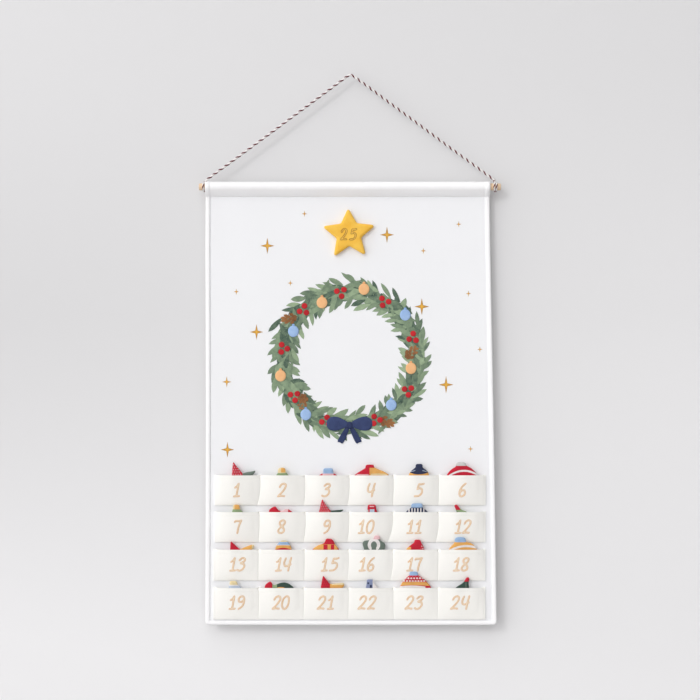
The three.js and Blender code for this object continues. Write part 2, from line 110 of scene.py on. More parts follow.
POCKET_HALF = (POCKET_PITCH - POCKET_SEAM) / 2
ROW_BILLOWS = (3.3 * MM, 2.9 * MM, 1.2 * MM, 0.8 * MM)
END_FLAP = 1.8 * MM
LEFT_FLAPS = (-0.2 * MM, -0.2 * MM, END_FLAP, END_FLAP)
ORNAMENT_FOOT = 6 * MM
ORNAMENT_LOFT = 3 * MM
ORNAMENT_EDGE = 1.1 * MM
ORNAMENT_REACH = 8 * MM
ORNAMENT_LEAN = math.atan2(12.9, 103.1)

FORWARD = np.array((0.0, -1.0, 0.0))

# The twine's yarns as shares of its thickness, and how thick it is drawn at the nail, dowel and knots
RED_YARN = 0.39
WHITE_YARN = 0.3
YARN_OFFSET = 0.3
HANGING_SIZE = 1.15
LOOP_SIZE = 0.85
KNOT_SIZE = 0.72
CORD_STEP = 0.8 * MM
# How far each loop stands right of its modelled place, and how far its turns spread, in millimetres
LOOP_PLACES = {-1: (1.6, 1.7), 1: (-0.6, 1.45)}
# The route of the twine's middle in X and Z, from the left knot over the nail to the right knot, in
# millimetres
CORD_ROUTE = (
    (-233.6, -176.4), (-229.5, -171.6), (-222, -165.6), (-200, -149.6), (-170, -127.9), (-140, -105.9),
    (-110, -83.8), (-80, -61.6), (-50, -39.5), (-25, -20.9), (-11, -10.4), (-5, -6), (-3.2, -4.7),
    (-1.7, -3.9), (0, -3.6), (1.7, -3.7), (3.2, -4.3), (5, -5.4), (11, -9.6), (25, -19.6), (50, -38.3),
    (80, -60.6), (110, -82.7), (140, -105.2), (170, -127.3), (200, -149.2), (221, -164.6), (230.9, -172),
)

# Colours of the felts, threads and print
COLOURS = {
    "red": srgb(204, 32, 56),
    "dark_red": srgb(150, 22, 40),
    "green": srgb(152, 174, 132),
    "dark_green": srgb(56, 78, 68),
    "grey_green": srgb(112, 126, 116),
    "blue": srgb(160, 190, 226),
    "pale_blue": srgb(200, 212, 230),
    "gold": srgb(238, 178, 98),
    "pale_gold": srgb(240, 220, 172),
    "navy": srgb(46, 54, 84),
    "slate": srgb(138, 148, 182),
    "white": srgb(246, 240, 238),
    "pink": srgb(240, 196, 200),
    "cream": srgb(216, 214, 212),
}


def patch(colour, **limits):
    """A printed patch within limits in millimetres: low and high, left and right, a bend or a round."""
    return {"colour": colour, **limits}


def ornament_look(form, cloth, top, *prints, dots=None):
    """An ornament's form inside the pocket, its cloth, the outline that stands out of the pocket from
    left to right, and what is printed on it."""
    return {"form": form, "cloth": cloth, "top": top, "prints": prints, "dots": dots}


# How each ornament looks, in the order of the pockets. Millimetres, across from the pocket's middle and
# up from its mouth
LOOKS = (
    ornament_look(
        "cone",
        "red",
        "-8.2,-2.6 -7.8,7.9 -6.7,19.1 -5.9,21.5 -4.8,20.4 2.1,11.7 8.1,4.2 9,2.4 11.3,4 17.4,5.6 "
        "24.3,6.4 30.4,8 28,3.8 24.8,-0.2 23.5,-2.6",
        patch("grey_green", left=8.9),
        dots=patch("pink", low=-1.8, high=18.3, left=-8.3, right=6.9),
    ),
    ornament_look(
        "bell",
        "green",
        "-10.6,-2.6 -9.8,-0.2 -6.9,3.7 -6.6,6.3 -6.8,8.7 -5.2,11.2 -1.8,12.7 1.7,12.7 4.6,11.2 "
        "6.2,8.8 6.2,5.9 6.9,4 10.4,0.2 11.4,-2.6",
        patch("pale_gold", low=4), patch("gold", low=5, high=12, left=-1.5, right=5),
    ),
    ornament_look(
        "bauble",
        "red",
        "-15.3,-3.4 -14.4,-0.8 -7.6,3.2 -6.2,4 -6.3,8.8 -5.1,11.1 -2.5,11.7 6.3,11.7 8.9,10.8 9.6,8.5 "
        "9.6,4.3 10.4,3.5 17.1,-0.7 18.1,-3.4",
        patch("blue", low=3.2), patch("pink", high=3.2, left=-7.5, right=10.5),
    ),
    ornament_look(
        "bauble",
        "red",
        "-30,-2.6 -28.6,0.5 -19.2,6.9 -10.9,11.4 -10.6,15.6 -9,17.3 0.8,17.5 2.8,16.2 2.9,12.8 "
        "9.7,9.8 17.7,6.6 25.1,2.4 26.7,0.2 27,-2.6",
        patch("gold", high=12.5, left=-4.3),
        patch("pale_gold", low=1.1, high=3.2, left=-2.2, right=23.2, bend=0.3, middle=9.7),
        patch("pink", low=0.8, high=2.2, left=-25, right=-5.8),
    ),
    ornament_look(
        "bauble",
        "navy",
        "-14.3,-2.6 -13.4,1.4 -11.6,4.8 -7.9,9 -2.8,12.4 -2.6,16.9 -1,18.5 6.9,18.5 8.5,17 8.6,12.5 "
        "13.9,9.1 17.2,5.5 18.8,1.4 19.7,-2.6",
        patch("gold", high=1.9, bend=-1.3, middle=2.7),
        patch("pale_blue", low=8, high=8.8, left=-10.1, right=-3.1, bend=1.4, middle=2.5),
        patch("pale_blue", low=8, high=8.8, left=8.2, right=15.1, bend=1.4, middle=2.5),
    ),
    ornament_look(
        "bauble",
        "red",
        "-26.1,-1.8 -24.8,1 -20.6,6.9 -15.8,10.9 -10.4,13.8 -10.7,17.5 -9.4,20.4 -4.6,21.5 2.6,21.4 "
        "5.7,19.4 6,15.6 11.5,13.3 16.9,9.5 21.4,5 24.2,1.1 25.3,-1.8",
        patch("cream", low=15.6, left=-11, right=6.3),
        patch("white", low=6.1, high=9.3, bend=1.45, middle=2.6),
    ),
    ornament_look(
        "sprig",
        "green",
        "-8.8,-2.4 -7.7,0.8 -6.4,5 -6.7,7.9 -5.9,10.4 -3.8,12.1 1.6,12.2 4.1,10.6 4.9,8 4.5,5.3 "
        "6.9,2.7 9.7,0.2 10.6,-2.4",
        patch("gold", low=4.7), patch("pale_gold", low=4.7, right=-3.8),
    ),
    ornament_look(
        "bell",
        "red",
        "-21.7,-2.4 -20.6,3.1 -18.8,5.3 -15.3,7.7 -11.7,9.3 -9.7,8.7 -7.6,5.6 -5.2,2.3 1.4,2.1 4,4 "
        "6.6,5 9.5,4.8 13.3,2.7 16.7,0.3 17.5,-2.4",
        patch("pink", left=-2.7, right=9.9),
    ),
    ornament_look(
        "cone",
        "red",
        "-13.6,-2.4 -12.6,1.6 -10.7,10.4 -8.4,19.4 -7.6,20.9 -6.5,19.6 -2.3,12.7 2.3,5.9 5.4,2.4 "
        "11.2,2.9 19.2,3.5 26.9,4 25.6,2.1 20.8,0.2 17.6,-2.4",
        patch("dark_green", left=5.5),
        dots=patch("pink", low=-1.6, high=17.7, left=-12.9, right=4.7),
    ),
    ornament_look(
        "bauble",
        "red",
        "-10.3,-2.4 -9,0.5 -7.5,4.7 -6.9,10.4 -5.8,12.1 4.8,12.1 6.1,10.4 6.6,4.7 8.4,0.5 9.7,-2.4",
        patch("pale_blue", high=5, left=-3.8, right=3.7),
        patch("pink", low=8.5, high=10.1, left=-4.1, right=3.2), patch("cream", high=4.2, right=-6.1),
    ),
    ornament_look(
        "bauble",
        "navy",
        "-18.8,-1.8 -17.4,1 -13.4,4.7 -9.2,7.2 -9.5,11.4 -8.2,13.3 -5.5,14.1 4.9,14.3 7.5,13.3 "
        "8.8,11.4 8.5,7.2 12.3,4.7 16.2,1 17.5,-1.8",
        patch("blue", low=7.6),
        *(
            patch("white", high=6.6, left=left, right=right)
            for left, right in ((-14, -12.2), (-9.2, -7.4), (-4.7, -2.9), (0.1, 1.9), (4.9, 6.7), (9.8, 11.5))
        ),
    ),
    ornament_look(
        "sprig",
        "green",
        "-6.5,-2.4 -7.3,3.1 -11,6.6 -12.9,10 -11.8,11.7 -9.4,12.2 -7.5,11.2 -4.3,6.8 -2.3,4.7 1.2,2.6 "
        "7.3,1 8.3,-2.4",
        patch("red", low=3.7, right=-3.6),
    ),
    ornament_look(
        "cone",
        "red",
        "-11,-3 -10.6,1 -10.2,11.4 -9.8,13.3 -8.3,13 -2.5,7.2 3.9,1.1 7.7,1.3 14.2,4.4 21.6,7.6 "
        "26.1,8.2 28.3,6.6 27.3,3.4 25.1,0.2 24.4,-3",
        patch("gold", left=5.2), patch("pale_gold", left=24.1),
    ),
    ornament_look(
        "bell",
        "gold",
        "-12.4,-3 -10.9,0.8 -8.9,6 -6.1,10.1 -2.4,13 -1.5,14.8 7.9,14.8 9.1,13 12,10.1 14.3,5.6 "
        "15.7,0.8 16.8,-3",
        patch("pale_gold", low=12.9), patch("blue", low=8.4, high=12.9, bend=0.5, middle=3),
        patch("white", low=7.6, high=8.4, bend=0.5, middle=3), patch("red", high=3.4, bend=2, middle=2.4),
    ),
    ornament_look(
        "bauble",
        "gold",
        "-24.8,-3 -23.5,0.2 -17.4,5.3 -11.3,8.4 -5.2,10 -3,13 -2,16.9 0.6,18.3 7.3,17.5 10.2,15 "
        "11.5,11.4 13.7,7.9 17.6,3.4 19.5,0.2 20.5,-3",
        patch("red", low=8.9), patch("red", high=8.5, left=-5.5, right=1.2),
        patch("red", high=8.5, left=6.3, right=11.6), patch("red", right=-21.3), patch("red", left=17.1),
    ),
    ornament_look(
        "bauble",
        "grey_green",
        "-11.9,-3 -13.8,4.4 -15.2,8.5 -14.7,12.4 -11.5,14.8 -6.1,15.1 -2.5,16.2 2.9,17.5 3.2,20.4 "
        "4.2,22.7 9.7,23 12.6,21.7 13.2,17.2 13.8,14.2 18.7,11.9 21.5,8.5 21.4,4.7 19.3,-3",
        patch("white", round=(3.1, 8.2, 10, 10.5)), patch("grey_green", round=(3.1, 7.8, 4.8, 6)),
        patch("grey_green", high=4, left=-0.6, right=6.6), patch("pink", low=17),
    ),
    ornament_look(
        "bauble",
        "red",
        "-18.8,-3 -17.5,0.5 -13.4,4.7 -8.9,8.5 -4.7,11.4 -4.5,14.6 -3.1,16.2 3.3,16.4 5.9,15 6.4,11.4 "
        "9.1,7.6 11.4,1.8 12.7,-3",
        patch("gold", high=4.7, right=-9.8),
        dots=patch("white", low=0.8, high=7.2, left=6.2, right=11.4),
    ),
    ornament_look(
        "bauble",
        "gold",
        "-22.6,-3 -21.3,0.5 -17.8,5.6 -13.3,9.5 -12,12.1 -12,17.2 -10,19.5 -6.2,20.4 1.2,20.3 "
        "4.7,18.8 5.7,16.2 5.7,12.4 11.2,11.7 16.9,9.2 21.4,5 24,0.7 25.3,-3",
        patch("blue", low=12.4, left=-12.6, right=6.3),
        patch("white", low=4.4, high=7.9, bend=1.05, middle=6.7),
    ),
    ornament_look(
        "bell",
        "pale_blue",
        "-13.8,-3.7 -12.8,0.5 -11.5,5 -11.2,9.2 -9.9,11.1 -1.2,11.3 0.4,9.5 1.3,6.3 4.9,2.8 7.1,-0.1 "
        "8.1,-3.7",
        patch("pale_gold", low=5.3, right=1.6), patch("white", low=3.7, high=5.3),
    ),
    ornament_look(
        "bell",
        "dark_green",
        "-28.1,-3.7 -27.2,3.4 -25.2,6.3 -20.7,9.5 -18.5,10.6 -16.2,8.9 -14,4.4 -9.8,5 -4.7,7.4 3,9.3 "
        "10.4,7.6 16.2,3.4 19.7,-0.1 20.4,-3.7",
        patch("red", right=-15), patch("green", left=-15, right=-7.6),
        patch("gold", high=1.8, left=-6.9, right=4.3, bend=1, middle=-0.8),
    ),
    ornament_look(
        "cone",
        "red",
        "-9.1,-4.5 -9.9,1.5 -8.9,5 -7.8,12.4 -6.5,18.8 -5.7,19.9 -4.4,18.5 0.6,12.1 4.9,6.1 11.2,6.9 "
        "19.2,7.6 25.3,8.2 28.2,6.9 28,3.4 25,-0.1 24,-3.7",
        patch("gold", left=5.1), patch("pale_gold", low=5.3, left=8),
        dots=patch("dark_red", low=-2.1, high=15.6, left=-9.1, right=4.1),
    ),
    ornament_look(
        "bauble",
        "white",
        "-11.5,-3.7 -9.6,0.2 -8.2,7.6 -8.3,12.1 -7,13.8 1,14 2.6,12.4 3.2,9.2 6.5,4 9.5,-0.1 "
        "10.9,-3.7",
        patch("slate", right=1.3), patch("navy", low=-2.9, high=5.3, left=-3.2, right=-0.1),
        patch("navy", low=6.6, high=9.5, left=-7.4, right=-4.5),
    ),
    ornament_look(
        "bauble",
        "red",
        "-29.4,-3.7 -28.3,0.8 -25.6,5 -23.3,9.5 -19.5,14.3 -14,19 -12.2,20.1 -12.2,24.6 -10.5,26.5 "
        "-0.5,26.7 1.4,24.6 1.7,20.4 7.2,17.4 13,12.7 18.4,6.9 22.3,1.8 23.9,-3.7",
        patch("blue", low=20.6), patch("gold", low=4.9, high=10.3, bend=0.25, middle=-4.7),
        patch("white", low=-0.4, high=4.4, right=13.6, bend=0.4, middle=-7.9),
        dots=patch("white", low=10.5, high=19.6, left=-22.4, right=16.2, pitch=4.6, size=0.1),
    ),
    ornament_look(
        "cone",
        "dark_green",
        "-12,-3.7 -10.4,0.2 -4.6,4.4 0.9,7.6 3.8,11.1 5.4,14.3 7,16.9 9.9,17.4 11.8,15.9 11.8,12.7 "
        "10.2,9.8 10.7,5 11.3,0 11.5,-3.7",
        patch("red", low=10.5), patch("grey_green", low=-2.1, high=9.2, left=5.5, right=7),
    ),
)
SASHES = {
    "red": "pale_gold", "navy": "white", "green": "red", "dark_green": "white", "grey_green": "white",
    "gold": "red", "white": "red", "pale_blue": "navy",
}
SASH_LOWS = (-16, -31)
SASH_WIDTH = 3
DOT_PITCH = 3.8
DOT_SIZE = 0.055
NO_LIMIT = 99
BELL_RIGHT = (
    (0, 0), (0.5, 0.01), (0.9, 0.03), (1, 0.09), (0.96, 0.17), (0.82, 0.3), (0.72, 0.5), (0.62, 0.72),
    (0.44, 0.88), (0.24, 0.95),
)
CONE_ROUND = (
    (-0.86, 0), (0.86, 0), (0.97, 0.06), (0.86, 0.26), (0.8, 0.44), (0.98, 0.62), (0.9, 0.76), (0.62, 0.76),
    (0.33, 0.69), (0.14, 0.94), (0, 1), (-0.13, 0.94), (-0.5, 0.5), (-0.97, 0.06),
)
SPRIG_RIGHT = (
    (0, 0), (0.3, 0.12), (0.72, 0.1), (0.95, 0.3), (0.8, 0.5), (0.98, 0.72), (0.66, 0.84), (0.34, 0.76),
    (0.26, 0.92), (0, 1),
)

# The strokes of each digit in a box one high, before its slant
DIGIT_STROKES = {
    "0": (
        [
            (0.28, 0.97), (0.07, 0.75), (0.05, 0.3), (0.2, 0.03), (0.38, 0.08), (0.5, 0.4), (0.46, 0.85),
            (0.28, 0.97),
        ],
    ),
    "1": (
        [(0.08, 0.68), (0.2, 0.78), (0.3, 0.97)],
        [(0.3, 0.97), (0.29, 0.5), (0.28, 0.03)],
        [(0.1, 0.02), (0.28, 0.03), (0.48, 0.04)],
    ),
    "2": (
        [(0.06, 0.72), (0.14, 0.9), (0.32, 0.98), (0.48, 0.86), (0.44, 0.6), (0.26, 0.3), (0.04, 0.03)],
        [(0.04, 0.03), (0.26, 0.07), (0.5, 0.04)],
    ),
    "3": (
        [(0.08, 0.8), (0.22, 0.95), (0.42, 0.94), (0.46, 0.76), (0.2, 0.57)],
        [(0.2, 0.57), (0.42, 0.52), (0.5, 0.32), (0.38, 0.1), (0.2, 0.02), (0.02, 0.08)],
    ),
    "4": (
        [(0.1, 0.95), (0.03, 0.68), (0.08, 0.42), (0.26, 0.36), (0.52, 0.5)],
        [(0.48, 0.98), (0.43, 0.5), (0.42, 0.02)],
    ),
    "5": (
        [(0.52, 0.97), (0.36, 0.92), (0.18, 0.93)],
        [(0.18, 0.93), (0.15, 0.76), (0.12, 0.58)],
        [(0.12, 0.58), (0.32, 0.63), (0.48, 0.5), (0.48, 0.25), (0.3, 0.06), (0.02, 0.03)],
    ),
    "6": (
        [
            (0.4, 0.98), (0.2, 0.78), (0.07, 0.45), (0.1, 0.14), (0.26, 0.02), (0.44, 0.12), (0.48, 0.32),
            (0.36, 0.48), (0.2, 0.45), (0.1, 0.3),
        ],
    ),
    "7": (
        [(0.04, 0.86), (0.1, 0.93), (0.28, 0.92), (0.5, 0.96)],
        [(0.5, 0.96), (0.4, 0.62), (0.36, 0.3), (0.36, 0.02)],
    ),
    "8": (
        [
            (0.28, 0.53), (0.1, 0.68), (0.1, 0.88), (0.28, 0.98), (0.44, 0.88), (0.42, 0.7), (0.28, 0.53),
            (0.1, 0.34), (0.06, 0.14), (0.24, 0.02), (0.44, 0.1), (0.46, 0.3), (0.28, 0.53),
        ],
    ),
    "9": (
        [
            (0.46, 0.78), (0.34, 0.96), (0.14, 0.92), (0.06, 0.72), (0.16, 0.54), (0.34, 0.58),
            (0.46, 0.78),
        ],
        [(0.46, 0.78), (0.48, 0.5), (0.38, 0.2), (0.16, 0.02)],
    ),
}
# Room from digit to digit, usual and for some numbers, and a digit's width, as shares of the height
ADVANCE = 0.6
DIGIT_WIDTH = 0.54
ADVANCES = {15: 0.67, 17: 0.52, 20: 0.64, 21: 0.7, 22: 0.7, 23: 0.7, 24: 0.74}
# How far left each seam between two pockets stands, row by row: at the mouth, and more at the bottom
SEAM_LEANS = (
    ((-1.5, -1.2, 0, 1.5, 1.2), (5.4, 2, 3, 1, 0.5)),
    ((0, -2, 0.5, 2.5, 1.5), (1.5, 3.5, 3, 9.5, 4.5)),
    ((1.2, -0.4, 1, 2.5, 1.8), (0.5, 0.5, 2, 4, 0.5)),
    ((0.5, 0.7, 1, 1.5, 2.5), (1.5, 0.8, 1, -0.7, -0.3)),
)
# How high the numbers' middles stand on a strip, and how far right of the pockets' middles, in millimetres
NUMBER_RISE = 25.2
NUMBER_SHIFTS = (
    (0.5, 0.3, -1.1, -2.1, 3.2, 0.6),
    (0.5, -0.2, -0.3, -9.6, -3.7, 1),
    (1.1, 2.2, 4.3, -8, -4.7, -1.4),
    (0.5, -1, -0.6, -7.4, -4.2, -2.7),
)

# The printed sparkles: X and Z of the middle, and the height, in millimetres
SPARKLES = (
    (-132.8, -276.9, 21), (59.3, -259.2, 21), (115.1, -374.5, 22), (-150.5, -415.3, 20), (153.7, -500, 22),
    (-197.4, -604.2, 20), (-198.5, -495.4, 14), (-73.4, -225.5, 8), (-96, -336.7, 8), (-182.8, -350.6, 8),
    (174.4, -242.2, 8), (117.7, -284.9, 8), (190.1, -353.6, 8), (208.1, -443.2, 8), (192.9, -603.1, 8),
)
SPARKLE_WAIST = 0.18
SPARKLE_CORNERS = (
    (1, 0), (SPARKLE_WAIST, SPARKLE_WAIST), (0, 1), (-SPARKLE_WAIST, SPARKLE_WAIST),
    (-1, 0), (-SPARKLE_WAIST, -SPARKLE_WAIST), (0, -1), (SPARKLE_WAIST, -SPARKLE_WAIST),
)
SPARKLE_PINCH = 0.44

# The two halves of the printed bow's right side, in millimetres from its knot
BOW_LOOP = ((0, 3), (10, 10), (24, 15), (35, 11), (38, 1), (33, -8), (20, -9), (8, -4), (0, -3))
BOW_TAIL = ((-2, 2), (4, 1), (12, -12), (21, -27), (15, -27), (11, -31), (3, -14))
# Each point of the star: its direction in degrees, and how far its tip and the valley after it stand out
STAR_POINTS = ((92, 39.6, 21.8), (164, 42, 21.2), (236, 41.3, 19.4), (308.5, 41, 20.8), (18.5, 42, 22))


class Number:
    """A value in a material's nodes that takes part in Python's sums."""

    def __init__(self, shader, socket):
        self.shader = shader
        self.socket = socket

    def maths(self, operation, *values):
        return self.shader.node("ShaderNodeMath", {"operation": operation}, dict(enumerate(values)))

    def __add__(self, other):
        return self.maths("ADD", self, other)

    def __radd__(self, other):
        return self.maths("ADD", other, self)

    def __sub__(self, other):
        return self.maths("SUBTRACT", self, other)

    def __rsub__(self, other):
        return self.maths("SUBTRACT", other, self)

    def __mul__(self, other):
        return self.maths("MULTIPLY", self, other)

    def __rmul__(self, other):
        return self.maths("MULTIPLY", other, self)

    def __lt__(self, other):
        return self.maths("LESS_THAN", self, other)

    def __gt__(self, other):
        return self.maths("GREATER_THAN", self, other)

    def sine(self):
        return self.maths("SINE", self)

    def floor(self):
        return self.maths("FLOOR", self)

    def fraction(self):
        return self.maths("FRACT", self)


class Shader:
    """One material, built node by node."""

    def __init__(self, name, roughness=0.85):
        self.material = bpy.data.materials.new(name)
        self.material.use_nodes = True
        self.tree = self.material.node_tree
        self.surface = self.tree.nodes["Principled BSDF"]
        self.surface.inputs["Roughness"].default_value = roughness
        self.surface.inputs["Specular IOR Level"].default_value = 0.3

    def plug(self, socket, value):
        if isinstance(value, Number):
            self.tree.links.new(value.socket, socket)
        elif isinstance(value, tuple) and len(value) == 3 and socket.type == "RGBA":
            socket.default_value = (*value, 1)
        else:
            socket.default_value = value

    def node(self, kind, settings=None, inputs=None, output=0):
        made = self.tree.nodes.new(kind)
        for key, value in (settings or {}).items():
            setattr(made, key, value)
        for key, value in (inputs or {}).items():
            self.plug(made.inputs[key], value)
        return Number(self, made.outputs[output])

    def split(self, vector):
        made = self.node("ShaderNodeSeparateXYZ", inputs={0: vector}).socket.node
        return [Number(self, output) for output in made.outputs]

    def mix(self, share, first, second, blend="MIX"):
        settings = {"data_type": "RGBA", "blend_type": blend}
        return self.node("ShaderNodeMix", settings, {0: share, 6: first, 7: second}, output=2)

    def noise(self, vector, scale, detail=2):
        return self.node("ShaderNodeTexNoise", inputs={"Vector": vector, "Scale": scale, "Detail": detail})

    def object_place(self):
        return self.node("ShaderNodeTexCoord", output="Object")

    def attribute(self, name, output="Fac"):
        return self.node("ShaderNodeAttribute", {"attribute_name": name}, output=output)

    def bump(self, height, distance):
        """Relief, on top of any that the material already has."""
        normal = self.node("ShaderNodeBump", inputs={"Height": height, "Distance": distance, "Strength": 1.0})
        for link in self.surface.inputs["Normal"].links:
            self.tree.links.new(link.from_socket, normal.socket.node.inputs["Normal"])
        self.plug(self.surface.inputs["Normal"], normal)

    def colour(self, value):
        self.plug(self.surface.inputs["Base Color"], value)

    def sheen(self, weight):
        self.surface.inputs["Sheen Weight"].default_value = weight
        self.surface.inputs["Sheen Roughness"].default_value = 0.5


def darker(colour, share):
    return tuple(channel * (1 - share) for channel in colour)


def woven(name, colour, pitch, relief, painted_hem_light=None, billow=False):
    """Plain-woven cloth: crossing yarns, slubs and a faint unevenness of tone. Its hems may be painted
    lighter, as painted light where they face the lamps, and it may have soft billows."""
    shader = Shader(name, roughness=0.9)
    cloth = shader.node("ShaderNodeUVMap", {"uv_map": "cloth"})
    across, along, _ = shader.split(cloth)
    weave = (across * (TAU / pitch)).sine() * (along * (TAU / pitch)).sine()
    place = shader.object_place()
    slubs = shader.noise(place, 900, 3)
    tone = shader.noise(place, 9, 3)
    colour = shader.mix(tone * 0.8 + slubs * 0.3, darker(colour, 0.035), colour)
    # Painted light: where the hem attribute is 1 the cloth takes the paler hem colour, standing in for the
    # light on the puffed hems and the sleeve.
    if painted_hem_light:
        colour = shader.mix(shader.attribute("hem"), colour, painted_hem_light)
    shader.colour(colour)
    if billow:
        shader.bump(shader.attribute("billow"), 1.0)
    shader.bump(weave * 0.35 + slubs, relief)
    shader.sheen(0.08)
    return shader.material


def threads(name, colour, relief=0.15 * MM, roughness=0.6):
    """Sewing or embroidery thread, or a yarn of the twine."""
    shader = Shader(name, roughness)
    place = shader.object_place()
    fibres = shader.noise(place, 1600, 2)
    shader.colour(shader.mix(fibres, darker(colour, 0.22), colour))
    shader.bump(fibres, relief)
    shader.sheen(0.15)
    return shader.material


def wood(name, colour):
    """Pale birch: long streaks along the rod, fine pores, and rings on its ends."""
    shader = Shader(name, roughness=0.55)
    place = shader.object_place()
    long = shader.node("ShaderNodeMapping", inputs={0: place, "Scale": (6, 160, 160)})
    streaks = shader.noise(long, 3, 5)
    pores = shader.noise(shader.node("ShaderNodeMapping", inputs={0: place, "Scale": (40, 900, 900)}), 2, 2)
    grain = shader.mix(streaks, darker(colour, 0.26), colour)
    shader.colour(shader.mix((pores < 0.36) * 0.25, grain, darker(colour, 0.4)))
    shader.bump(streaks * 0.5 + pores * 0.5, 0.1 * MM)
    return shader.material


def brushed_print(name, light, dark, scale=90):
    """Ink on cloth, laid on unevenly as with a brush; tone is the piece's own light or dark share."""
    shader = Shader(name, roughness=0.8)
    place = shader.object_place()
    tone = shader.attribute("tone")
    patches = shader.noise(place, scale, 4)
    grain = shader.noise(place, 700, 2)
    share = tone * 0.75 + patches * 0.7 - 0.22
    colour = shader.mix(share, dark, light)
    shader.colour(shader.mix((grain > 0.62) * 0.25, colour, light))
    shader.bump(grain, 0.08 * MM)
    return shader.material


def patch_mask(across, up, limits):
    """1 inside a printed patch, whose top and bottom may curve, and 0 outside it."""
    if "round" in limits:
        middle, rise, half, tall = limits["round"]
        beside, above = (across - middle) * (1 / half), (up - rise) * (1 / tall)
        return (beside * beside + above * above) < 1
    if "bend" in limits:
        off = (across - limits["middle"]) * 0.1
        up = up + off * off * limits["bend"]
    mask = (up > limits.get("low", -NO_LIMIT)) * (up < limits.get("high", NO_LIMIT))
    return mask * (across > limits.get("left", -NO_LIMIT)) * (across < limits.get("right", NO_LIMIT))


def printed_felt(name, cloth, prints, dots):
    """A padded ornament's cloth with its printed patches, sashes and dots."""
    shader = Shader(name)
    across, up, _ = shader.split(shader.attribute("place", "Vector"))
    colour = COLOURS[cloth]
    sashes = [patch(SASHES[cloth], low=low, high=low + SASH_WIDTH) for low in SASH_LOWS]
    for shape in (*prints, *sashes):
        colour = shader.mix(patch_mask(across, up, shape), colour, COLOURS[shape["colour"]])
    if dots:
        pitch = dots.get("pitch", DOT_PITCH)
        rows = up * (1 / pitch)
        beside = (across * (1 / pitch) + rows.floor() * 0.5).fraction() - 0.5
        above = rows.fraction() - 0.5
        mask = (beside * beside + above * above) < dots.get("size", DOT_SIZE)
        colour = shader.mix(mask * patch_mask(across, up, dots), colour, COLOURS[dots["colour"]])
    objects = shader.object_place()
    fuzz = shader.noise(objects, 1100, 3)
    patches = shader.noise(objects, 150, 3)
    worn = shader.mix(patches * 1.6 + fuzz * 0.5 - 0.75, (0.8, 0.8, 0.8), (1.0, 1.0, 1.0))
    shader.colour(shader.mix(1.0, colour, worn, "MULTIPLY"))
    shader.bump(fuzz, 0.25 * MM)
    shader.sheen(0.15)
    return shader.material


def golden_felt(name, colour):
    """The star's cloth, in broad soft patches of yellow."""
    shader = Shader(name, roughness=0.75)
    place = shader.object_place()
    patches = shader.noise(place, 55, 3)
    fuzz = shader.noise(place, 1300, 3)
    deep = (colour[0] * 0.94, colour[1] * 0.84, colour[2] * 0.55)
    light = (min(colour[0] * 1.04, 1), colour[1] * 1.14, colour[2] * 1.6)
    base = shader.mix(patches * 1.8 - 0.4, deep, light)
    shader.colour(shader.mix(fuzz * 0.2, base, darker(colour, 0.25)))
    shader.bump(fuzz, 0.2 * MM)
    shader.sheen(0.15)
    return shader.material


def select_only(piece):
    bpy.ops.object.select_all(action="DESELECT")
    piece.select_set(True)
    bpy.context.view_layer.objects.active = piece


def smooth(piece, degrees=40):
    select_only(piece)
    bpy.ops.object.shade_smooth_by_angle(angle=math.radians(degrees))


def add_mesh(name, points, faces, material):
    """A mesh object at the origin from points in metres."""
    mesh = bpy.data.meshes.new(name)
    mesh.from_pydata(np.asarray(points, float).tolist(), [], faces)
    mesh.materials.append(material)
    mesh.update()
    piece = bpy.data.objects.new(name, mesh)
    bpy.context.collection.objects.link(piece)
    return piece


def give_uv(piece, places):
    """Lays a map named cloth over a piece, from one place in metres for each of its points."""
    mesh = piece.data
    corners = np.zeros(len(mesh.loops), np.int32)
    mesh.loops.foreach_get("vertex_index", corners)
    layer = mesh.uv_layers.new(name="cloth")
    layer.data.foreach_set("uv", np.asarray(places, np.float32)[corners].ravel())


def give_values(piece, name, values):
    """Stores one number, or three, for each point of a piece."""
    values = np.asarray(values, np.float32)
    kind, key = ("FLOAT", "value") if values.ndim == 1 else ("FLOAT_VECTOR", "vector")
    piece.data.attributes.new(name, kind, "POINT").data.foreach_set(key, values.ravel())


def places_of(piece):
    """X, Y and Z of all the points of a piece."""
    places = np.zeros(3 * len(piece.data.vertices))
    piece.data.vertices.foreach_get("co", places)
    return places.reshape(-1, 3).T


def reshape(piece, kind, **settings):
    """Gives a piece a modifier and applies it."""
    select_only(piece)
    modifier = piece.modifiers.new(kind.lower(), kind)
    for key, value in settings.items():
        setattr(modifier, key, value)
    bpy.ops.object.modifier_apply(modifier=modifier.name)


def ease_edges(piece, width, segments=2):
    """Rounds the sharp edges of a piece."""
    settings = dict(limit_method="ANGLE", angle_limit=math.radians(50))
    reshape(piece, "BEVEL", width=width, segments=segments, **settings)


def keep(piece, body, slot, *nodes):
    """Puts a finished piece on its body and hides the imported parts that it stands for."""
    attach(piece, body)
    if nodes:
        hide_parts(*nodes)
    return piece


def hump(off, width):
    """1 in the middle, and less further off."""
    return np.exp(-((off / width) ** 2))


def drape(points):
    """The slight waves in which the whole panel hangs. Everything sewn to it follows them."""
    points = np.array(points, float)
    x, z = points[..., 0], points[..., 2]
    low = np.clip((PANEL_TOP - 0.004 - z) / 0.09, 0, 1)
    low = low * low * (3 - 2 * low)
    wave = 0.3 * np.sin(x / 0.071 + 0.7 + z * 2.1) + 0.26 * np.sin(z / 0.083 + x * 3.3)
    wave = wave + 0.16 * np.sin(x / 0.033 - z / 0.12)
    points[..., 1] += wave * low * MM
    points[..., 0] += 0.35 * np.sin(z / 0.11 + 0.4) * low * MM
    return points


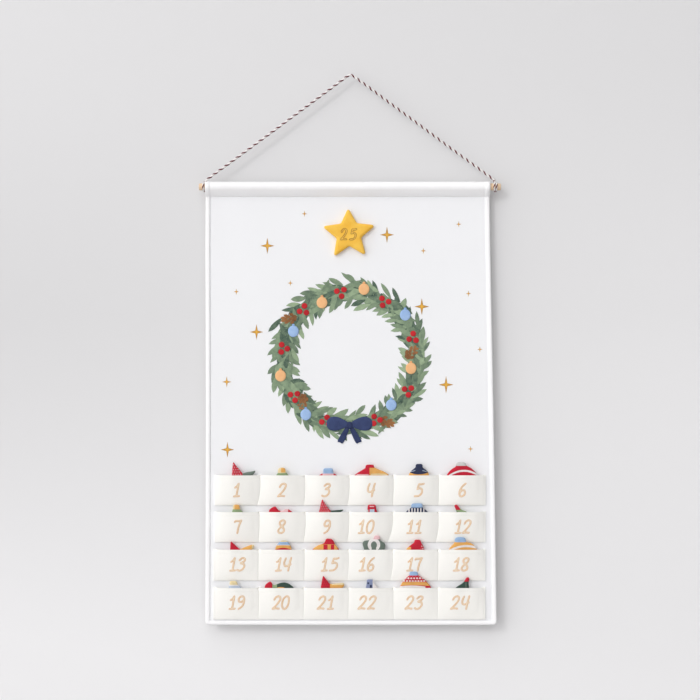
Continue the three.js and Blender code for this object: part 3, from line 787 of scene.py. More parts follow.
def closed_sheet(name, front, back, cloth, material, rim):
    """A closed piece of cloth between two grids of points of one shape, front towards the viewer."""
    rows, columns = front.shape[:2]
    size = rows * columns
    index = np.arange(size).reshape(rows, columns)
    a, b, c, d = index[:-1, :-1], index[:-1, 1:], index[1:, 1:], index[1:, :-1]
    edge = np.concatenate((index[0, :], index[1:, -1], index[-1, -2::-1], index[-2:0:-1, 0]))
    following = np.roll(edge, -1)
    quads = np.concatenate(
        (
            np.stack((a, b, c, d), -1).reshape(-1, 4),
            np.stack((a, d, c, b), -1).reshape(-1, 4) + size,
            np.stack((edge, edge + size, following + size, following), -1),
        )
    )
    points = np.concatenate((front.reshape(-1, 3), back.reshape(-1, 3)))
    piece = add_mesh(name, points, quads.tolist(), material)
    give_uv(piece, np.tile(cloth.reshape(-1, 2), (2, 1)))
    ease_edges(piece, rim)
    smooth(piece)
    return piece


def thread(name, lines, radius, material, closed=False):
    """Round threads along lines of points, as one piece."""
    curve = bpy.data.curves.new(name, "CURVE")
    curve.dimensions = "3D"
    curve.bevel_depth = radius
    curve.bevel_resolution = 0 if radius < 0.3 * MM else 1
    curve.use_fill_caps = not closed
    curve.materials.append(material)
    for line in lines:
        spline = curve.splines.new("POLY")
        spline.points.add(len(line) - 1)
        places = np.concatenate((np.asarray(line), np.ones((len(line), 1))), 1)
        spline.points.foreach_set("co", places.ravel())
        spline.use_cyclic_u = closed
    piece = bpy.data.objects.new(name, curve)
    bpy.context.collection.objects.link(piece)
    select_only(piece)
    bpy.ops.object.convert(target="MESH")
    smooth(bpy.context.object, 60)
    return bpy.context.object


def distances_along(line):
    """How far along a line of points each of them lies."""
    return np.concatenate(([0], np.cumsum(np.linalg.norm(np.diff(line, axis=0), axis=1))))


def respaced(line, count, endpoint=True):
    """The same line with that many points, evenly spaced."""
    along = distances_along(line)
    places = np.linspace(0, along[-1], count, endpoint=endpoint)
    return np.stack([np.interp(places, along, column) for column in line.T], 1)


def curved(points, steps=12):
    """A smooth line through points."""
    points = np.asarray(points, float)
    closed = np.allclose(points[0], points[-1])
    before = points[-2] if closed else 2 * points[0] - points[1]
    after = points[1] if closed else 2 * points[-1] - points[-2]
    p = np.concatenate(([before], points, [after]))
    line = []
    for i in range(1, len(p) - 2):
        t = np.linspace(0, 1, steps, endpoint=False)[:, None]
        a, b, c, d = p[i - 1 : i + 3]
        line.append(
            0.5 * (2 * b + (c - a) * t + (2 * a - 5 * b + 4 * c - d) * t**2 + (3 * b - a - 3 * c + d) * t**3)
        )
    return np.concatenate([*line, points[-1:]])


def cut_corners(outline, times):
    """A closed outline with its corners eased."""
    outline = np.asarray(outline, float)
    for _ in range(times):
        after = np.roll(outline, -1, axis=0)
        outline = np.stack((0.75 * outline + 0.25 * after, 0.25 * outline + 0.75 * after), 1).reshape(-1, 2)
    return outline


def even_outline(outline, count):
    """A closed outline with that many points, evenly spaced."""
    return respaced(np.concatenate((outline, outline[:1])), count, endpoint=False)


def along_sides(corners, shares):
    """A closed outline with points at these shares of each of its straight sides."""
    corners = np.asarray(corners, float)[:, None]
    sides = np.roll(corners, -1, axis=0) - corners
    return (corners + sides * np.reshape(shares, (1, -1, 1))).reshape(-1, 2)


def distance_from(points, line):
    """How far each point lies from a line of points."""
    start, run = line[:-1], np.diff(line, axis=0)
    rel = points[:, None] - start
    share = np.clip((rel * run).sum(-1) / np.maximum((run * run).sum(-1), 1e-18), 0, 1)
    return np.linalg.norm(rel - share[..., None] * run, axis=-1).min(1)


def swell(points, outline, loft, edge, reach):
    """How far a stuffed piece stands out: steep at its sewn edge and flat in its middle."""
    away = distance_from(points, np.concatenate((outline, outline[:1])))
    share = np.clip(away / reach, 0, 1)
    return edge + (loft - edge) * (1 - (1 - share) ** 2.5) ** 0.4


def pad(outline, middle, loft, edge, reach, rings=11, tuck=0.04):
    """Points (across, up, out) and faces of a stuffed piece over an outline, anticlockwise from the
    front: a flat back, a tucked-in sewn edge, and a swollen front."""
    outline, middle = np.asarray(outline), np.asarray(middle, float)
    shares = 1 - (np.arange(rings) / rings) ** 1.6
    layers = [np.c_[middle + (outline - middle) * (1 - tuck), np.zeros(len(outline))]]
    for share in shares:
        flat = middle + (outline - middle) * share
        layers.append(np.c_[flat, swell(flat, outline, loft, edge, reach)])
    top = swell(middle[None], outline, loft, edge, reach)[0]
    around = len(outline)
    points = np.concatenate((*layers, [[*middle, 0], [*middle, top]]))
    ring = np.arange(around)
    after = np.roll(ring, -1)
    back, front = len(points) - 2, len(points) - 1
    faces = np.stack((np.full(around, back), after, ring), -1).tolist()
    for k in range(len(layers) - 1):
        low, high = k * around, (k + 1) * around
        faces += np.stack((low + ring, low + after, high + after, high + ring), -1).tolist()
    last = (len(layers) - 1) * around
    faces += np.stack((np.full(around, front), last + ring, last + after), -1).tolist()
    return points, faces


def gather(parts):
    """Joins points and faces of several shapes."""
    points, faces = [], []
    start = 0
    for some, theirs in parts:
        points.append(some)
        faces += [[start + i for i in face] for face in theirs]
        start += len(some)
    return np.concatenate(points), faces


def round_places(angles):
    """Places at angles on a circle of radius 1."""
    return np.stack((np.cos(angles), np.sin(angles)), -1)


def set_down(points, centre, out):
    """A pad's points (across, up, out) at a centre on the panel and at a height off it, as (X, out, Z)."""
    return np.stack((centre[0] + points[:, 0], out + points[:, 2], centre[1] + points[:, 1]), 1)


def join(piece, *others):
    """Makes several pieces one."""
    select_only(piece)
    for other in others:
        other.select_set(True)
    bpy.ops.object.join()
    return piece


def panel_right(z):
    """Where the panel's right edge stands at a height."""
    share = (PANEL_TOP - z) / (PANEL_TOP - PANEL_BOTTOM)
    return PANEL_RIGHT_TOP + (PANEL_RIGHT_BOTTOM - PANEL_RIGHT_TOP) * share


def hem_rise(inset):
    """How far the puffed hem stands in front of the panel's face at a distance from its edge."""
    shares = np.clip(inset / HEM_WIDTH, 0, 1.35)
    puff = np.interp(
        shares,
        (0, 0.06, 0.16, 0.3, 0.55, 0.78, 0.92, 1.01, 1.07, 1.13, 1.2, 1.35),
        (-0.12, 0.35, 0.72, 0.94, 1, 0.95, 0.8, 0.45, 0.06, -0.08, -0.08, 0),
    )
    return 1.9 * MM * puff


def panel_inset(x, z):
    """Distance of a point on the panel from its left, right or bottom edge, whichever is least."""
    return np.minimum(np.minimum(x - PANEL_LEFT, panel_right(z) - x), z - PANEL_BOTTOM)


def panel_face(x, z):
    """Y of the panel's face."""
    inset = panel_inset(x, z)
    sides = np.minimum(x - PANEL_LEFT, panel_right(z) - x)
    run = np.where(sides < z - PANEL_BOTTOM, z, x)
    near = hump(inset - HEM_WIDTH, 2.4 * MM)
    puckers = 0.16 * MM * near * np.sin(run / (1.9 * MM) + 2 * np.sin(run / (17 * MM)))
    return FACE_Y - hem_rise(inset) + puckers


def strip_share(x):
    """The pocket that a point across a strip belongs to, and where it lies in it, -1 to 1."""
    place = np.asarray(x) - STRIP_LEFT
    number = np.clip(np.floor(place / POCKET_PITCH), 0, POCKETS - 1)
    return number, (place - (number + 0.5) * POCKET_PITCH) / POCKET_HALF


def height_in(row, z):
    """Height above a strip's bottom edge, measured as in the top row."""
    low, high = STRIPS[row]
    return (z - low.z) / (high.z - low.z) * POCKET_HEIGHT


def seam_shift(row, border, up):
    """How far left the gathered cloth draws the valley between two pockets, more towards its bottom."""
    mouth, pull = (np.interp(border, range(POCKETS + 1), (0, *values, 0)) for values in SEAM_LEANS[row])
    return (mouth + pull * np.clip(1 - up / (0.7 * POCKET_HEIGHT), 0, 1) ** 2) * MM


def drawn_share(row, x, up):
    """As strip_share, where the gathered cloth has drawn the valleys aside."""
    border = np.round((x - STRIP_LEFT) / POCKET_PITCH)
    shift = seam_shift(row, border, up)
    off = x - STRIP_LEFT - border * POCKET_PITCH + shift / 2
    return strip_share(x + shift * hump(off, SEAM_REACH))


def pocket_face(row, x, up, inner=False, sewn=True):
    """Y of a pocket strip's cloth, at X and at a height above the strip's bottom edge. In front each
    pocket has a soft ridge left of its middle; inside it keeps the room that its ornament needs. The
    sewn strip comes down to the panel at both ends."""
    x, up = np.asarray(x, float), np.asarray(up, float)
    share = np.clip(strip_share(x)[1], -1, 1)
    rise = np.clip((up - FLOOR_SEAM) / (POCKET_HEIGHT - FLOOR_SEAM), 0, 1)
    hollow = SEAT_GAP + POCKET_DEPTH * np.sqrt(rise) * np.cbrt(1 - np.abs(share) ** 3)
    end = np.minimum(x - STRIP_LEFT, STRIP_LEFT + STRIP_WIDTH - x) + END_FLAP
    hollow = hollow * np.interp(end, (0, 2 * MM, 11 * MM), (0.2, 0.25, 1))
    if inner:
        return FACE_Y - hollow
    number, share = drawn_share(row, x, up)
    seed = 1.7 * number + 2.9 * row
    height = np.clip(up / POCKET_HEIGHT, 0, 1)
    ridge = -0.16 + 0.1 * np.sin(seed)
    lean = np.abs(share - ridge) / np.where(share > ridge, 1 - ridge, 1 + ridge)
    crest = POCKET_CREST * (1 - 0.36 * lean**1.5)
    depth = FLOOR_CREST + (crest - FLOOR_CREST) * height**0.8
    fold = np.sin(4.1 * share + 3.2 * height + seed) * np.sin(2.3 * height - 1.9 * share + 2 * seed)
    depth = depth + 0.35 * MM * fold * np.clip(1 - share**2, 0, 1) * height
    gap = POCKET_PITCH / 2 - np.abs(share) * POCKET_HALF
    top = np.clip((up - POCKET_HEIGHT) / (4.5 * MM) + 1, 0, 1) ** 1.5
    depth = depth - hump(gap, 1.9 * MM) * top * (depth - 3 * MM)
    depth = depth - 0.4 * MM * hump(gap, 0.8 * MM)
    depth = depth - 0.16 * MM * hump(up - (POCKET_HEIGHT - MOUTH_HEM), 0.8 * MM)
    depth = np.maximum(depth, hollow + 0.5 * MM)
    if sewn:
        wall = np.clip((end - 1.3 * MM) / (10 * MM), 0, 1) ** 0.6
        flap = SEAT_GAP + STRIP_CLOTH + 0.8 * MM
        depth = flap + np.maximum(depth - flap, 0) * wall
    return FACE_Y - np.maximum(depth, hollow + 0.4 * MM)


def pocket_billow(row, x, up):
    """How far the loose cloth of a pocket stands forward beyond its modelled face: the material's relief,
    fullest in the middle of each pocket and in the upper rows. It evens out the slope of the sewn ends."""
    share = np.clip(drawn_share(row, x, up)[1] * POCKET_HALF / (POCKET_PITCH / 2), -1, 1)
    height = np.clip(up / POCKET_HEIGHT, 0, 1)
    below_mouth = np.minimum(up, POCKET_HEIGHT - 7 * MM)
    even = pocket_face(row, x, below_mouth) - pocket_face(row, x, below_mouth, sewn=False)
    even = even * np.where(x > STRIP_LEFT + STRIP_WIDTH / 2, 1, 0.8)
    return ROW_BILLOWS[row] * (1 - share**2) * (1 - 0.3 * height**2) + even


def stitch_line(face, start, end, pitch=3.4 * MM, length=2.5 * MM):
    """Separate stitches between two places (X, Z), each dipping into the cloth at both ends."""
    start, end = np.asarray(start, float), np.asarray(end, float)
    run = np.linalg.norm(end - start)
    count = max(1, int(run / pitch))
    direction = (end - start) / run
    stitches = []
    for k in range(count):
        middle = start + direction * (k + 0.5) * (run / count)
        flat = middle + np.array((-0.5, -0.17, 0.17, 0.5))[:, None] * direction * length
        lift = np.array((-0.22, 0.16, 0.16, -0.22)) * MM
        stitches.append(np.stack((flat[:, 0], face(flat[:, 0], flat[:, 1]) - lift, flat[:, 1]), 1))
    return stitches


def contour(field, level):
    """Closed lines round the places where a grid of numbers is below a level, in grid steps."""
    low = field < level
    links = {}

    def crossing(r, c, s, d):
        share = (level - field[r, c]) / (field[s, d] - field[r, c])
        return (c + share * (d - c), r + share * (s - r))

    places = {}
    for r in range(field.shape[0] - 1):
        for c in range(field.shape[1] - 1):
            corners = ((r, c), (r, c + 1), (r + 1, c + 1), (r + 1, c))
            cut = []
            for k in range(4):
                one, two = corners[k], corners[(k + 1) % 4]
                if low[one] != low[two]:
                    key = (min(one, two), max(one, two))
                    places[key] = crossing(*one, *two)
                    cut.append(key)
            for one, two in zip(cut[::2], cut[1::2]):
                links.setdefault(one, []).append(two)
                links.setdefault(two, []).append(one)
    loops = []
    while links:
        here = next(iter(links))
        loop, before = [], None
        while here in links:
            loop.append(places[here])
            onward = [key for key in links.pop(here) if key != before]
            before, here = here, onward[0] if onward else None
        loops.append(np.array(loop))
    return [loop for loop in loops if len(loop) > 6]


def digit_outlines(stroke):
    """Outlines of the ten digits, one high, each as closed lines round strokes of a given width."""
    step, low = 0.016, -0.15
    across = np.arange(low, 0.75, step)
    up = np.arange(low, 1.16, step)
    grid = np.stack(np.meshgrid(across, up), -1).reshape(-1, 2)
    outlines = {}
    for digit, lines in digit_centres().items():
        field = np.min([distance_from(grid, line) for line in lines], axis=0)
        loops = []
        for loop in contour(field.reshape(len(up), len(across)), stroke / 2):
            for _ in range(3):
                loop = (np.roll(loop, 1, axis=0) + 2 * loop + np.roll(loop, -1, axis=0)) / 4
            loops.append(even_outline(low + loop * step, max(12, int(len(loop) * 0.7))))
        outlines[digit] = loops
    return outlines


def digit_centres():
    """The middle lines of the ten digits' strokes, one high."""
    return {digit: [curved(line) for line in strokes] for digit, strokes in DIGIT_STROKES.items()}


def written(number, outlines, height, slant, advance=ADVANCE):
    """The outlines of a number, centred, as lines of (across, up)."""
    lines = []
    digits = str(number)
    for place, digit in enumerate(digits):
        left = (place - len(digits) / 2) * advance + (advance - DIGIT_WIDTH) / 2
        for loop in outlines[digit]:
            line = loop + (left, -0.5)
            lines.append(np.stack((line[:, 0] + slant * line[:, 1], line[:, 1]), 1) * height)
    return lines


class CalendarStage(bpy.types.PropertyGroup):
    """The camera, the lamps and the room."""

    lens: FloatProperty(name="Lens", description="Camera focal length, in millimetres", default=85, min=10)
    view_width: FloatProperty(
        name="View width", description="Width that the picture shows", default=1.1242, unit="LENGTH"
    )
    view_x: FloatProperty(name="View X", description="Middle of the picture", default=-0.0003, unit="LENGTH")
    view_z: FloatProperty(name="View Z", description="Middle of the picture", default=-0.4442, unit="LENGTH")
    wall_gap: FloatProperty(
        name="Wall gap", description="From the nail's line back to the wall", default=0.026, unit="LENGTH"
    )
    floor_drop: FloatProperty(
        name="Floor drop", description="From the nail down to the floor", default=1.8, unit="LENGTH"
    )
    wall_lean: FloatProperty(
        name="Wall lean", description="How much wider the gap gets, down for down", default=0.02
    )
    key_power: FloatProperty(name="Key lamp", description="Strength of the key lamp", default=0.46, min=0)
    broad_power: FloatProperty(
        name="Broad lamp", description="Strength of the broad lamp", default=2.88, min=0
    )
    back_power: FloatProperty(name="Back lamp", description="Strength of the lamp behind", default=0.4, min=0)
    sky: FloatProperty(name="Sky", description="Even light from all round", default=0.22, min=0)
    wall_colour: FloatVectorProperty(
        name="Wall", description="Paint of the wall", subtype="COLOR", default=srgb(225, 224, 225)
    )


class CalendarTwine(bpy.types.PropertyGroup):
    """The twisted twine that the calendar hangs by."""

    lay: FloatProperty(
        name="Lay", description="Length of one full twist", default=9.9 * MM, unit="LENGTH", precision=4
    )
    red: FloatVectorProperty(
        name="Red yarn", description="The coloured yarn", subtype="COLOR", default=srgb(98, 2, 24)
    )
    white: FloatVectorProperty(
        name="White yarn", description="The two plain yarns", subtype="COLOR", default=srgb(252, 248, 246)
    )


class CalendarCloth(bpy.types.PropertyGroup):
    """Cloths, threads and the dowel."""

    panel: FloatVectorProperty(
        name="Panel", description="Front cloth and sleeve", subtype="COLOR", default=srgb(245, 245, 247)
    )
    # Painted light: hems and sleeve are painted paler than the panel, standing in for the light that they
    # catch.
    hems: FloatVectorProperty(
        name="Hems", description="Hems and sleeve, outside the print",
        subtype="COLOR", default=srgb(253, 252, 253),
    )
    pockets: FloatVectorProperty(
        name="Pockets", description="Pocket strips", subtype="COLOR", default=srgb(253, 251, 246)
    )
    lining: FloatVectorProperty(
        name="Lining", description="Cloth on the back", subtype="COLOR", default=srgb(238, 237, 234)
    )
    weave: FloatProperty(
        name="Weave", description="Width of two yarns", default=0.9 * MM, unit="LENGTH", precision=5
    )
    dowel: FloatVectorProperty(
        name="Dowel", description="Pale wood", subtype="COLOR", default=srgb(244, 212, 176)
    )


class CalendarNumbers(bpy.types.PropertyGroup):
    """The outlined numbers and the star."""

    height: FloatProperty(
        name="Height", description="Height of the pocket numbers",
        default=21.7 * MM, unit="LENGTH", precision=4,
    )
    star_height: FloatProperty(
        name="Star number", description="Height of the number on the star", default=17.6 * MM, unit="LENGTH"
    )
    slant: FloatProperty(name="Slant", description="How far they lean, across for up", default=0.17)
    stroke: FloatProperty(
        name="Stroke", description="Width of a stroke, as a share of the height", default=0.1
    )
    thread: FloatProperty(
        name="Thread", description="Thickness of the embroidery thread",
        default=0.58 * MM, unit="LENGTH", precision=5,
    )
    colour: FloatVectorProperty(
        name="Numbers", description="Thread of the numbers' outlines",
        subtype="COLOR", default=srgb(242, 176, 92),
    )
    filling: FloatVectorProperty(
        name="Filling", description="Thread between the outlines",
        subtype="COLOR", default=srgb(255, 238, 208),
    )
    star_outline: FloatVectorProperty(
        name="Star outline", description="Outline of the star's number",
        subtype="COLOR", default=srgb(116, 50, 8),
    )
    star_filling: FloatVectorProperty(
        name="Star filling", description="Thread between its outlines",
        subtype="COLOR", default=srgb(252, 204, 110),
    )
    star: FloatVectorProperty(
        name="Star", description="Cloth of the star", subtype="COLOR", default=srgb(248, 195, 72)
    )


class CalendarWreath(bpy.types.PropertyGroup):
    """The printed wreath and sparkles."""

    radius: FloatProperty(
        name="Radius", description="Middle of the ring of leaves", default=107 * MM, unit="LENGTH"
    )
    middle_z: FloatProperty(name="Height", description="Middle of the wreath", default=-0.458, unit="LENGTH")
    leaves: IntProperty(name="Leaves", description="Leaves in each of the seven rounds", default=58, min=8)
    seed: IntProperty(name="Seed", description="Changes how the leaves fall", default=7)
    sparkle: FloatVectorProperty(
        name="Sparkles", description="Gold print", subtype="COLOR", default=srgb(240, 184, 74)
    )
    sparkle_edge: FloatVectorProperty(
        name="Sparkle edge", description="The print's darker rim", subtype="COLOR", default=srgb(150, 104, 44)
    )


class CALENDAR_OT_stage(bpy.types.Operator):
    """Adds the camera, the lamps, the wall and the floor"""

    bl_idname = "calendar.stage"
    bl_label = "Stage"

    def execute(self, context):
        settings = context.scene.calendar_stage
        camera = bpy.data.objects.new("camera", bpy.data.cameras.new("camera"))
        context.collection.objects.link(camera)
        camera.data.lens = settings.lens
        camera.data.sensor_width = 36
        distance = settings.view_width / 2 / (camera.data.sensor_width / 2 / settings.lens)
        camera.location = (settings.view_x, FACE_Y - distance, settings.view_z)
        camera.rotation_euler = (math.pi / 2, 0, 0)
        context.scene.camera = camera
        context.scene.view_settings.view_transform = "Standard"
        self.add_lamps(context, settings)
        self.add_world(context, settings)
        self.add_room(context, settings)
        return {"FINISHED"}

    def add_lamps(self, context, settings):
        """A key lamp, a broad soft one beside it, and one behind for whoever looks at the back."""
        for name, direction, spread, power in (
            ("key_lamp", (-0.66, -1, 0.54), 14, settings.key_power),
            ("broad_lamp", (-0.92, -1, 0.62), 110, settings.broad_power),
            ("back_lamp", (0.4, 1, 0.1), 30, settings.back_power),
        ):
            lamp = bpy.data.objects.new(name, bpy.data.lights.new(name, "SUN"))
            context.collection.objects.link(lamp)
            lamp.data.energy = power
            lamp.data.angle = math.radians(spread)
            towards = Vector(direction).normalized()
            lamp.location = towards * 3
            lamp.rotation_euler = towards.to_track_quat("Z", "Y").to_euler()

    def add_world(self, context, settings):
        """Even light from all round. The camera, and what shines or is clear, see the wall's colour."""
        world = bpy.data.worlds.new("room")
        context.scene.world = world
        world.use_nodes = True
        tree = world.node_tree
        sky = tree.nodes["Background"]
        sky.inputs["Color"].default_value = (1, 1, 1, 1)
        sky.inputs["Strength"].default_value = settings.sky
        seen = tree.nodes.new("ShaderNodeBackground")
        seen.inputs["Color"].default_value = (*settings.wall_colour, 1)
        path = tree.nodes.new("ShaderNodeLightPath")
        share = path.outputs["Is Camera Ray"]
        for kind in ("Is Glossy Ray", "Is Transmission Ray"):
            either = tree.nodes.new("ShaderNodeMath")
            either.operation = "MAXIMUM"
            tree.links.new(share, either.inputs[0])
            tree.links.new(path.outputs[kind], either.inputs[1])
            share = either.outputs[0]
        mixed = tree.nodes.new("ShaderNodeMixShader")
        tree.links.new(share, mixed.inputs[0])
        tree.links.new(sky.outputs[0], mixed.inputs[1])
        tree.links.new(seen.outputs[0], mixed.inputs[2])
        tree.links.new(mixed.outputs[0], tree.nodes["World Output"].inputs["Surface"])

    def add_room(self, context, settings):
        height = ROOM_SIZE / 2 - settings.floor_drop
        gap = settings.wall_gap - settings.wall_lean * (height - (PANEL_TOP + PANEL_BOTTOM) / 2)
        turn = math.pi / 2 + math.atan(settings.wall_lean)
        bpy.ops.mesh.primitive_plane_add(size=ROOM_SIZE, location=(0, gap, height), rotation=(turn, 0, 0))
        wall = context.object
        wall.name = "wall"
        middle = (0, settings.wall_gap - ROOM_SIZE / 2, -settings.floor_drop)
        bpy.ops.mesh.primitive_plane_add(size=ROOM_SIZE, location=middle)
        floor = context.object
        floor.name = "floor"
        wall.data.materials.append(self.wall_paint(settings))
        shader = Shader("floor_paint")
        shader.colour(settings.wall_colour[:])
        floor.data.materials.append(shader.material)

    def wall_paint(self, settings):
        """Paint that only the camera sees, and only from in front, so that the back can be looked at. Its
        colour holds painted light: paler towards the floor and varied across, as the lamps would light it."""
        shader = Shader("wall_paint", roughness=1)
        shader.surface.inputs["Specular IOR Level"].default_value = 0
        across, _, up = shader.split(shader.node("ShaderNodeNewGeometry", output="Position"))
        clamped = {"operation": "MULTIPLY_ADD", "use_clamp": True}
        # Painted light: the wall's colour is lightened towards the floor and varied across by a wave,
        # standing in for how the light falls on it.
        low = shader.node("ShaderNodeMath", clamped, {0: up, 1: -1.62, 2: -0.63})
        wave = (up * -5.6 + 2.23).sine()
        light = settings.wall_colour[:]
        share = low * 0.72 - across * wave * 0.3 + 0.25
        shader.colour(shader.mix(share, darker(light, 0.06), tuple(channel * 1.16 for channel in light)))
        path = shader.node("ShaderNodeLightPath", output="Is Camera Ray")
        behind = shader.node("ShaderNodeNewGeometry", output="Backfacing")
        clear = shader.node("ShaderNodeBsdfTransparent")
        mixed = shader.node("ShaderNodeMixShader", inputs={0: path * (1 - behind), 1: clear})
        shader.tree.links.new(shader.surface.outputs[0], mixed.socket.node.inputs[2])
        shader.tree.links.new(mixed.socket, shader.tree.nodes["Material Output"].inputs["Surface"])
        return shader.material


def twist(name, centres, outward, settings, size=1.0, lay=None):
    """Three yarns, one of them red and thicker, laid round a line. Outward gives each point's direction
    off it."""
    centres = np.asarray(centres, float)
    along = np.gradient(centres, axis=0)
    along /= np.linalg.norm(along, axis=1)[:, None]
    outward = outward - (outward * along).sum(1)[:, None] * along
    outward /= np.linalg.norm(outward, axis=1)[:, None]
    beside = np.cross(along, outward)
    run = distances_along(centres)
    offset = YARN_OFFSET * CORD_DIAMETER * size
    lines = []
    for strand in range(3):
        angle = (TAU * run / (lay or settings.lay * size) + TAU * strand / 3)[:, None]
        lines.append(centres + offset * (np.cos(angle) * outward + np.sin(angle) * beside))
    yarn = CORD_DIAMETER * size
    red_wool = threads("twine_red", settings.red[:], roughness=0.8)
    white_wool = threads("twine_white", settings.white[:], roughness=0.8)
    red = thread(name, lines[:1], RED_YARN * yarn, red_wool)
    white = thread("yarns", lines[1:], WHITE_YARN * yarn, white_wool)
    return join(red, white)


class CALENDAR_OT_twine(bpy.types.Operator):
    """Lays the twisted twine over the nail and ties it round both ends of the dowel"""

    bl_idname = "calendar.twine"
    bl_label = "Twine"

    def execute(self, context):
        settings = context.scene.calendar_twine
        route = np.array([(x * MM, 0, z * MM) for x, z in CORD_ROUTE])
        centres = curved(route)
        centres = respaced(centres, int(round(distances_along(centres)[-1] / CORD_STEP)) + 1)
        twine = twist("hanging_twine", centres, np.tile(FORWARD, (len(centres), 1)), settings, HANGING_SIZE)
        loops = []
        for side, at in (("left", -1), ("right", 1)):
            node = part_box(f"cord_loop_{side}")
            end = route[0] if at < 0 else route[-1]
            loops.append(self.tie(f"twine_loop_{side}", node, end, at, settings))
            keep(loops[-1], "hanger", "twine", f"cord_loop_{side}")
        keep(twine, "hanger", "twine", "hanging_cord")
        return {"FINISHED"}

    def tie(self, name, node, end, side, settings):
        """Two turns of twine round the dowel, apart in front, and a tight wrap round the twine above."""
        shift, spread = LOOP_PLACES[side]
        middle = (node[0].x + node[1].x) / 2 + shift * MM
        radius = DOWEL_RADIUS + 0.3 * MM + LOOP_SIZE * CORD_DIAMETER / 2
        turns = np.linspace(0, 1, 190)
        angle = 2 * TAU * turns
        forward = np.maximum(np.sin(angle), 0)
        apart = (0.4 + spread * forward) * np.tanh((turns - 0.5) / 0.04) * side * MM
        ring = radius + 0.8 * MM * hump(turns - 0.5, 0.06)
        points = np.stack((middle - apart, -ring * np.sin(angle), DOWEL_AXIS_Z + ring * np.cos(angle)), 1)
        radial = np.stack((np.zeros_like(angle), -np.sin(angle), np.cos(angle)), 1)
        loop = twist(name, points, radial, settings, LOOP_SIZE, lay=TAU * radius / 4)
        turns = np.linspace(0, 1, 70)[:, None]
        angle = TAU * 1.75 * turns
        start = np.array((end[0], 0, end[2] + 0.3 * MM))
        finish = np.array((middle, 0, DOWEL_AXIS_Z + radius))
        axis = (finish - start) / np.linalg.norm(finish - start)
        around = np.cos(angle) * np.cross(axis, FORWARD) + np.sin(angle) * FORWARD
        centres = start + (finish - start) * turns + 1.15 * MM * around
        knot = twist("knot", centres, around, settings, KNOT_SIZE)
        return join(loop, knot)


class CALENDAR_OT_dowel(bpy.types.Operator):
    """Turns the pale wooden dowel"""

    bl_idname = "calendar.dowel"
    bl_label = "Dowel"

    def execute(self, context):
        length = DOWEL[1].x - DOWEL[0].x - 3 * MM
        bpy.ops.object.select_all(action="DESELECT")
        bpy.ops.mesh.primitive_cylinder_add(
            vertices=64,
            radius=DOWEL_RADIUS,
            depth=length,
            location=((DOWEL[0].x + DOWEL[1].x) / 2, 0, DOWEL_AXIS_Z),
            rotation=(0, math.pi / 2, 0),
        )
        rod = context.object
        rod.name = "dowel_rod"
        bpy.ops.object.transform_apply(location=True, rotation=True, scale=True)
        ease_edges(rod, 1.4 * MM, segments=5)
        rod.data.materials.append(wood("birch", context.scene.calendar_cloth.dowel[:]))
        smooth(rod, 30)
        keep(rod, "hanger", "dowel_wood", "dowel")
        return {"FINISHED"}


def sleeve_path():
    """The sleeve's section from its seam up the front, over the dowel and down the back: outer and
    inner points in Y and Z, and the length along it."""
    seam = np.array((FACE_Y, PANEL_TOP - DOWEL_AXIS_Z))
    reach = math.atan2(seam[1], seam[0]) - math.acos(SLEEVE_OUTER / np.linalg.norm(seam)) + TAU
    wall = FRONT_CLOTH + INTERLINING + LINING
    angles = np.linspace(reach, 0, 40)
    arc = round_places(angles)
    leave = SLEEVE_OUTER * arc[0]
    shares = np.linspace(0, 1, 12, endpoint=False)[:, None]
    slope = (leave - seam) / np.linalg.norm(leave - seam)
    off = np.array((-slope[1], slope[0]))
    belly = np.sin(math.pi * shares) * 0.7 * MM
    outer_front = seam + (leave - seam) * shares + off * belly
    inner_seam = seam + slope * 2.6 * MM + np.array((0.1 * MM, 0))
    inner_front = inner_seam + (SLEEVE_OUTER - wall) * arc[0] * shares - inner_seam * shares
    down = np.linspace(0, seam[1], 10)[1:, None]
    outer_back = np.concatenate((np.full_like(down, SLEEVE_OUTER), down), 1)
    inner_back = np.concatenate((np.full_like(down, SLEEVE_OUTER - wall), down), 1)
    outer = np.concatenate((outer_front, SLEEVE_OUTER * arc, outer_back))
    inner = np.concatenate((inner_front, (SLEEVE_OUTER - wall) * arc, inner_back))
    return outer, inner, distances_along(outer)


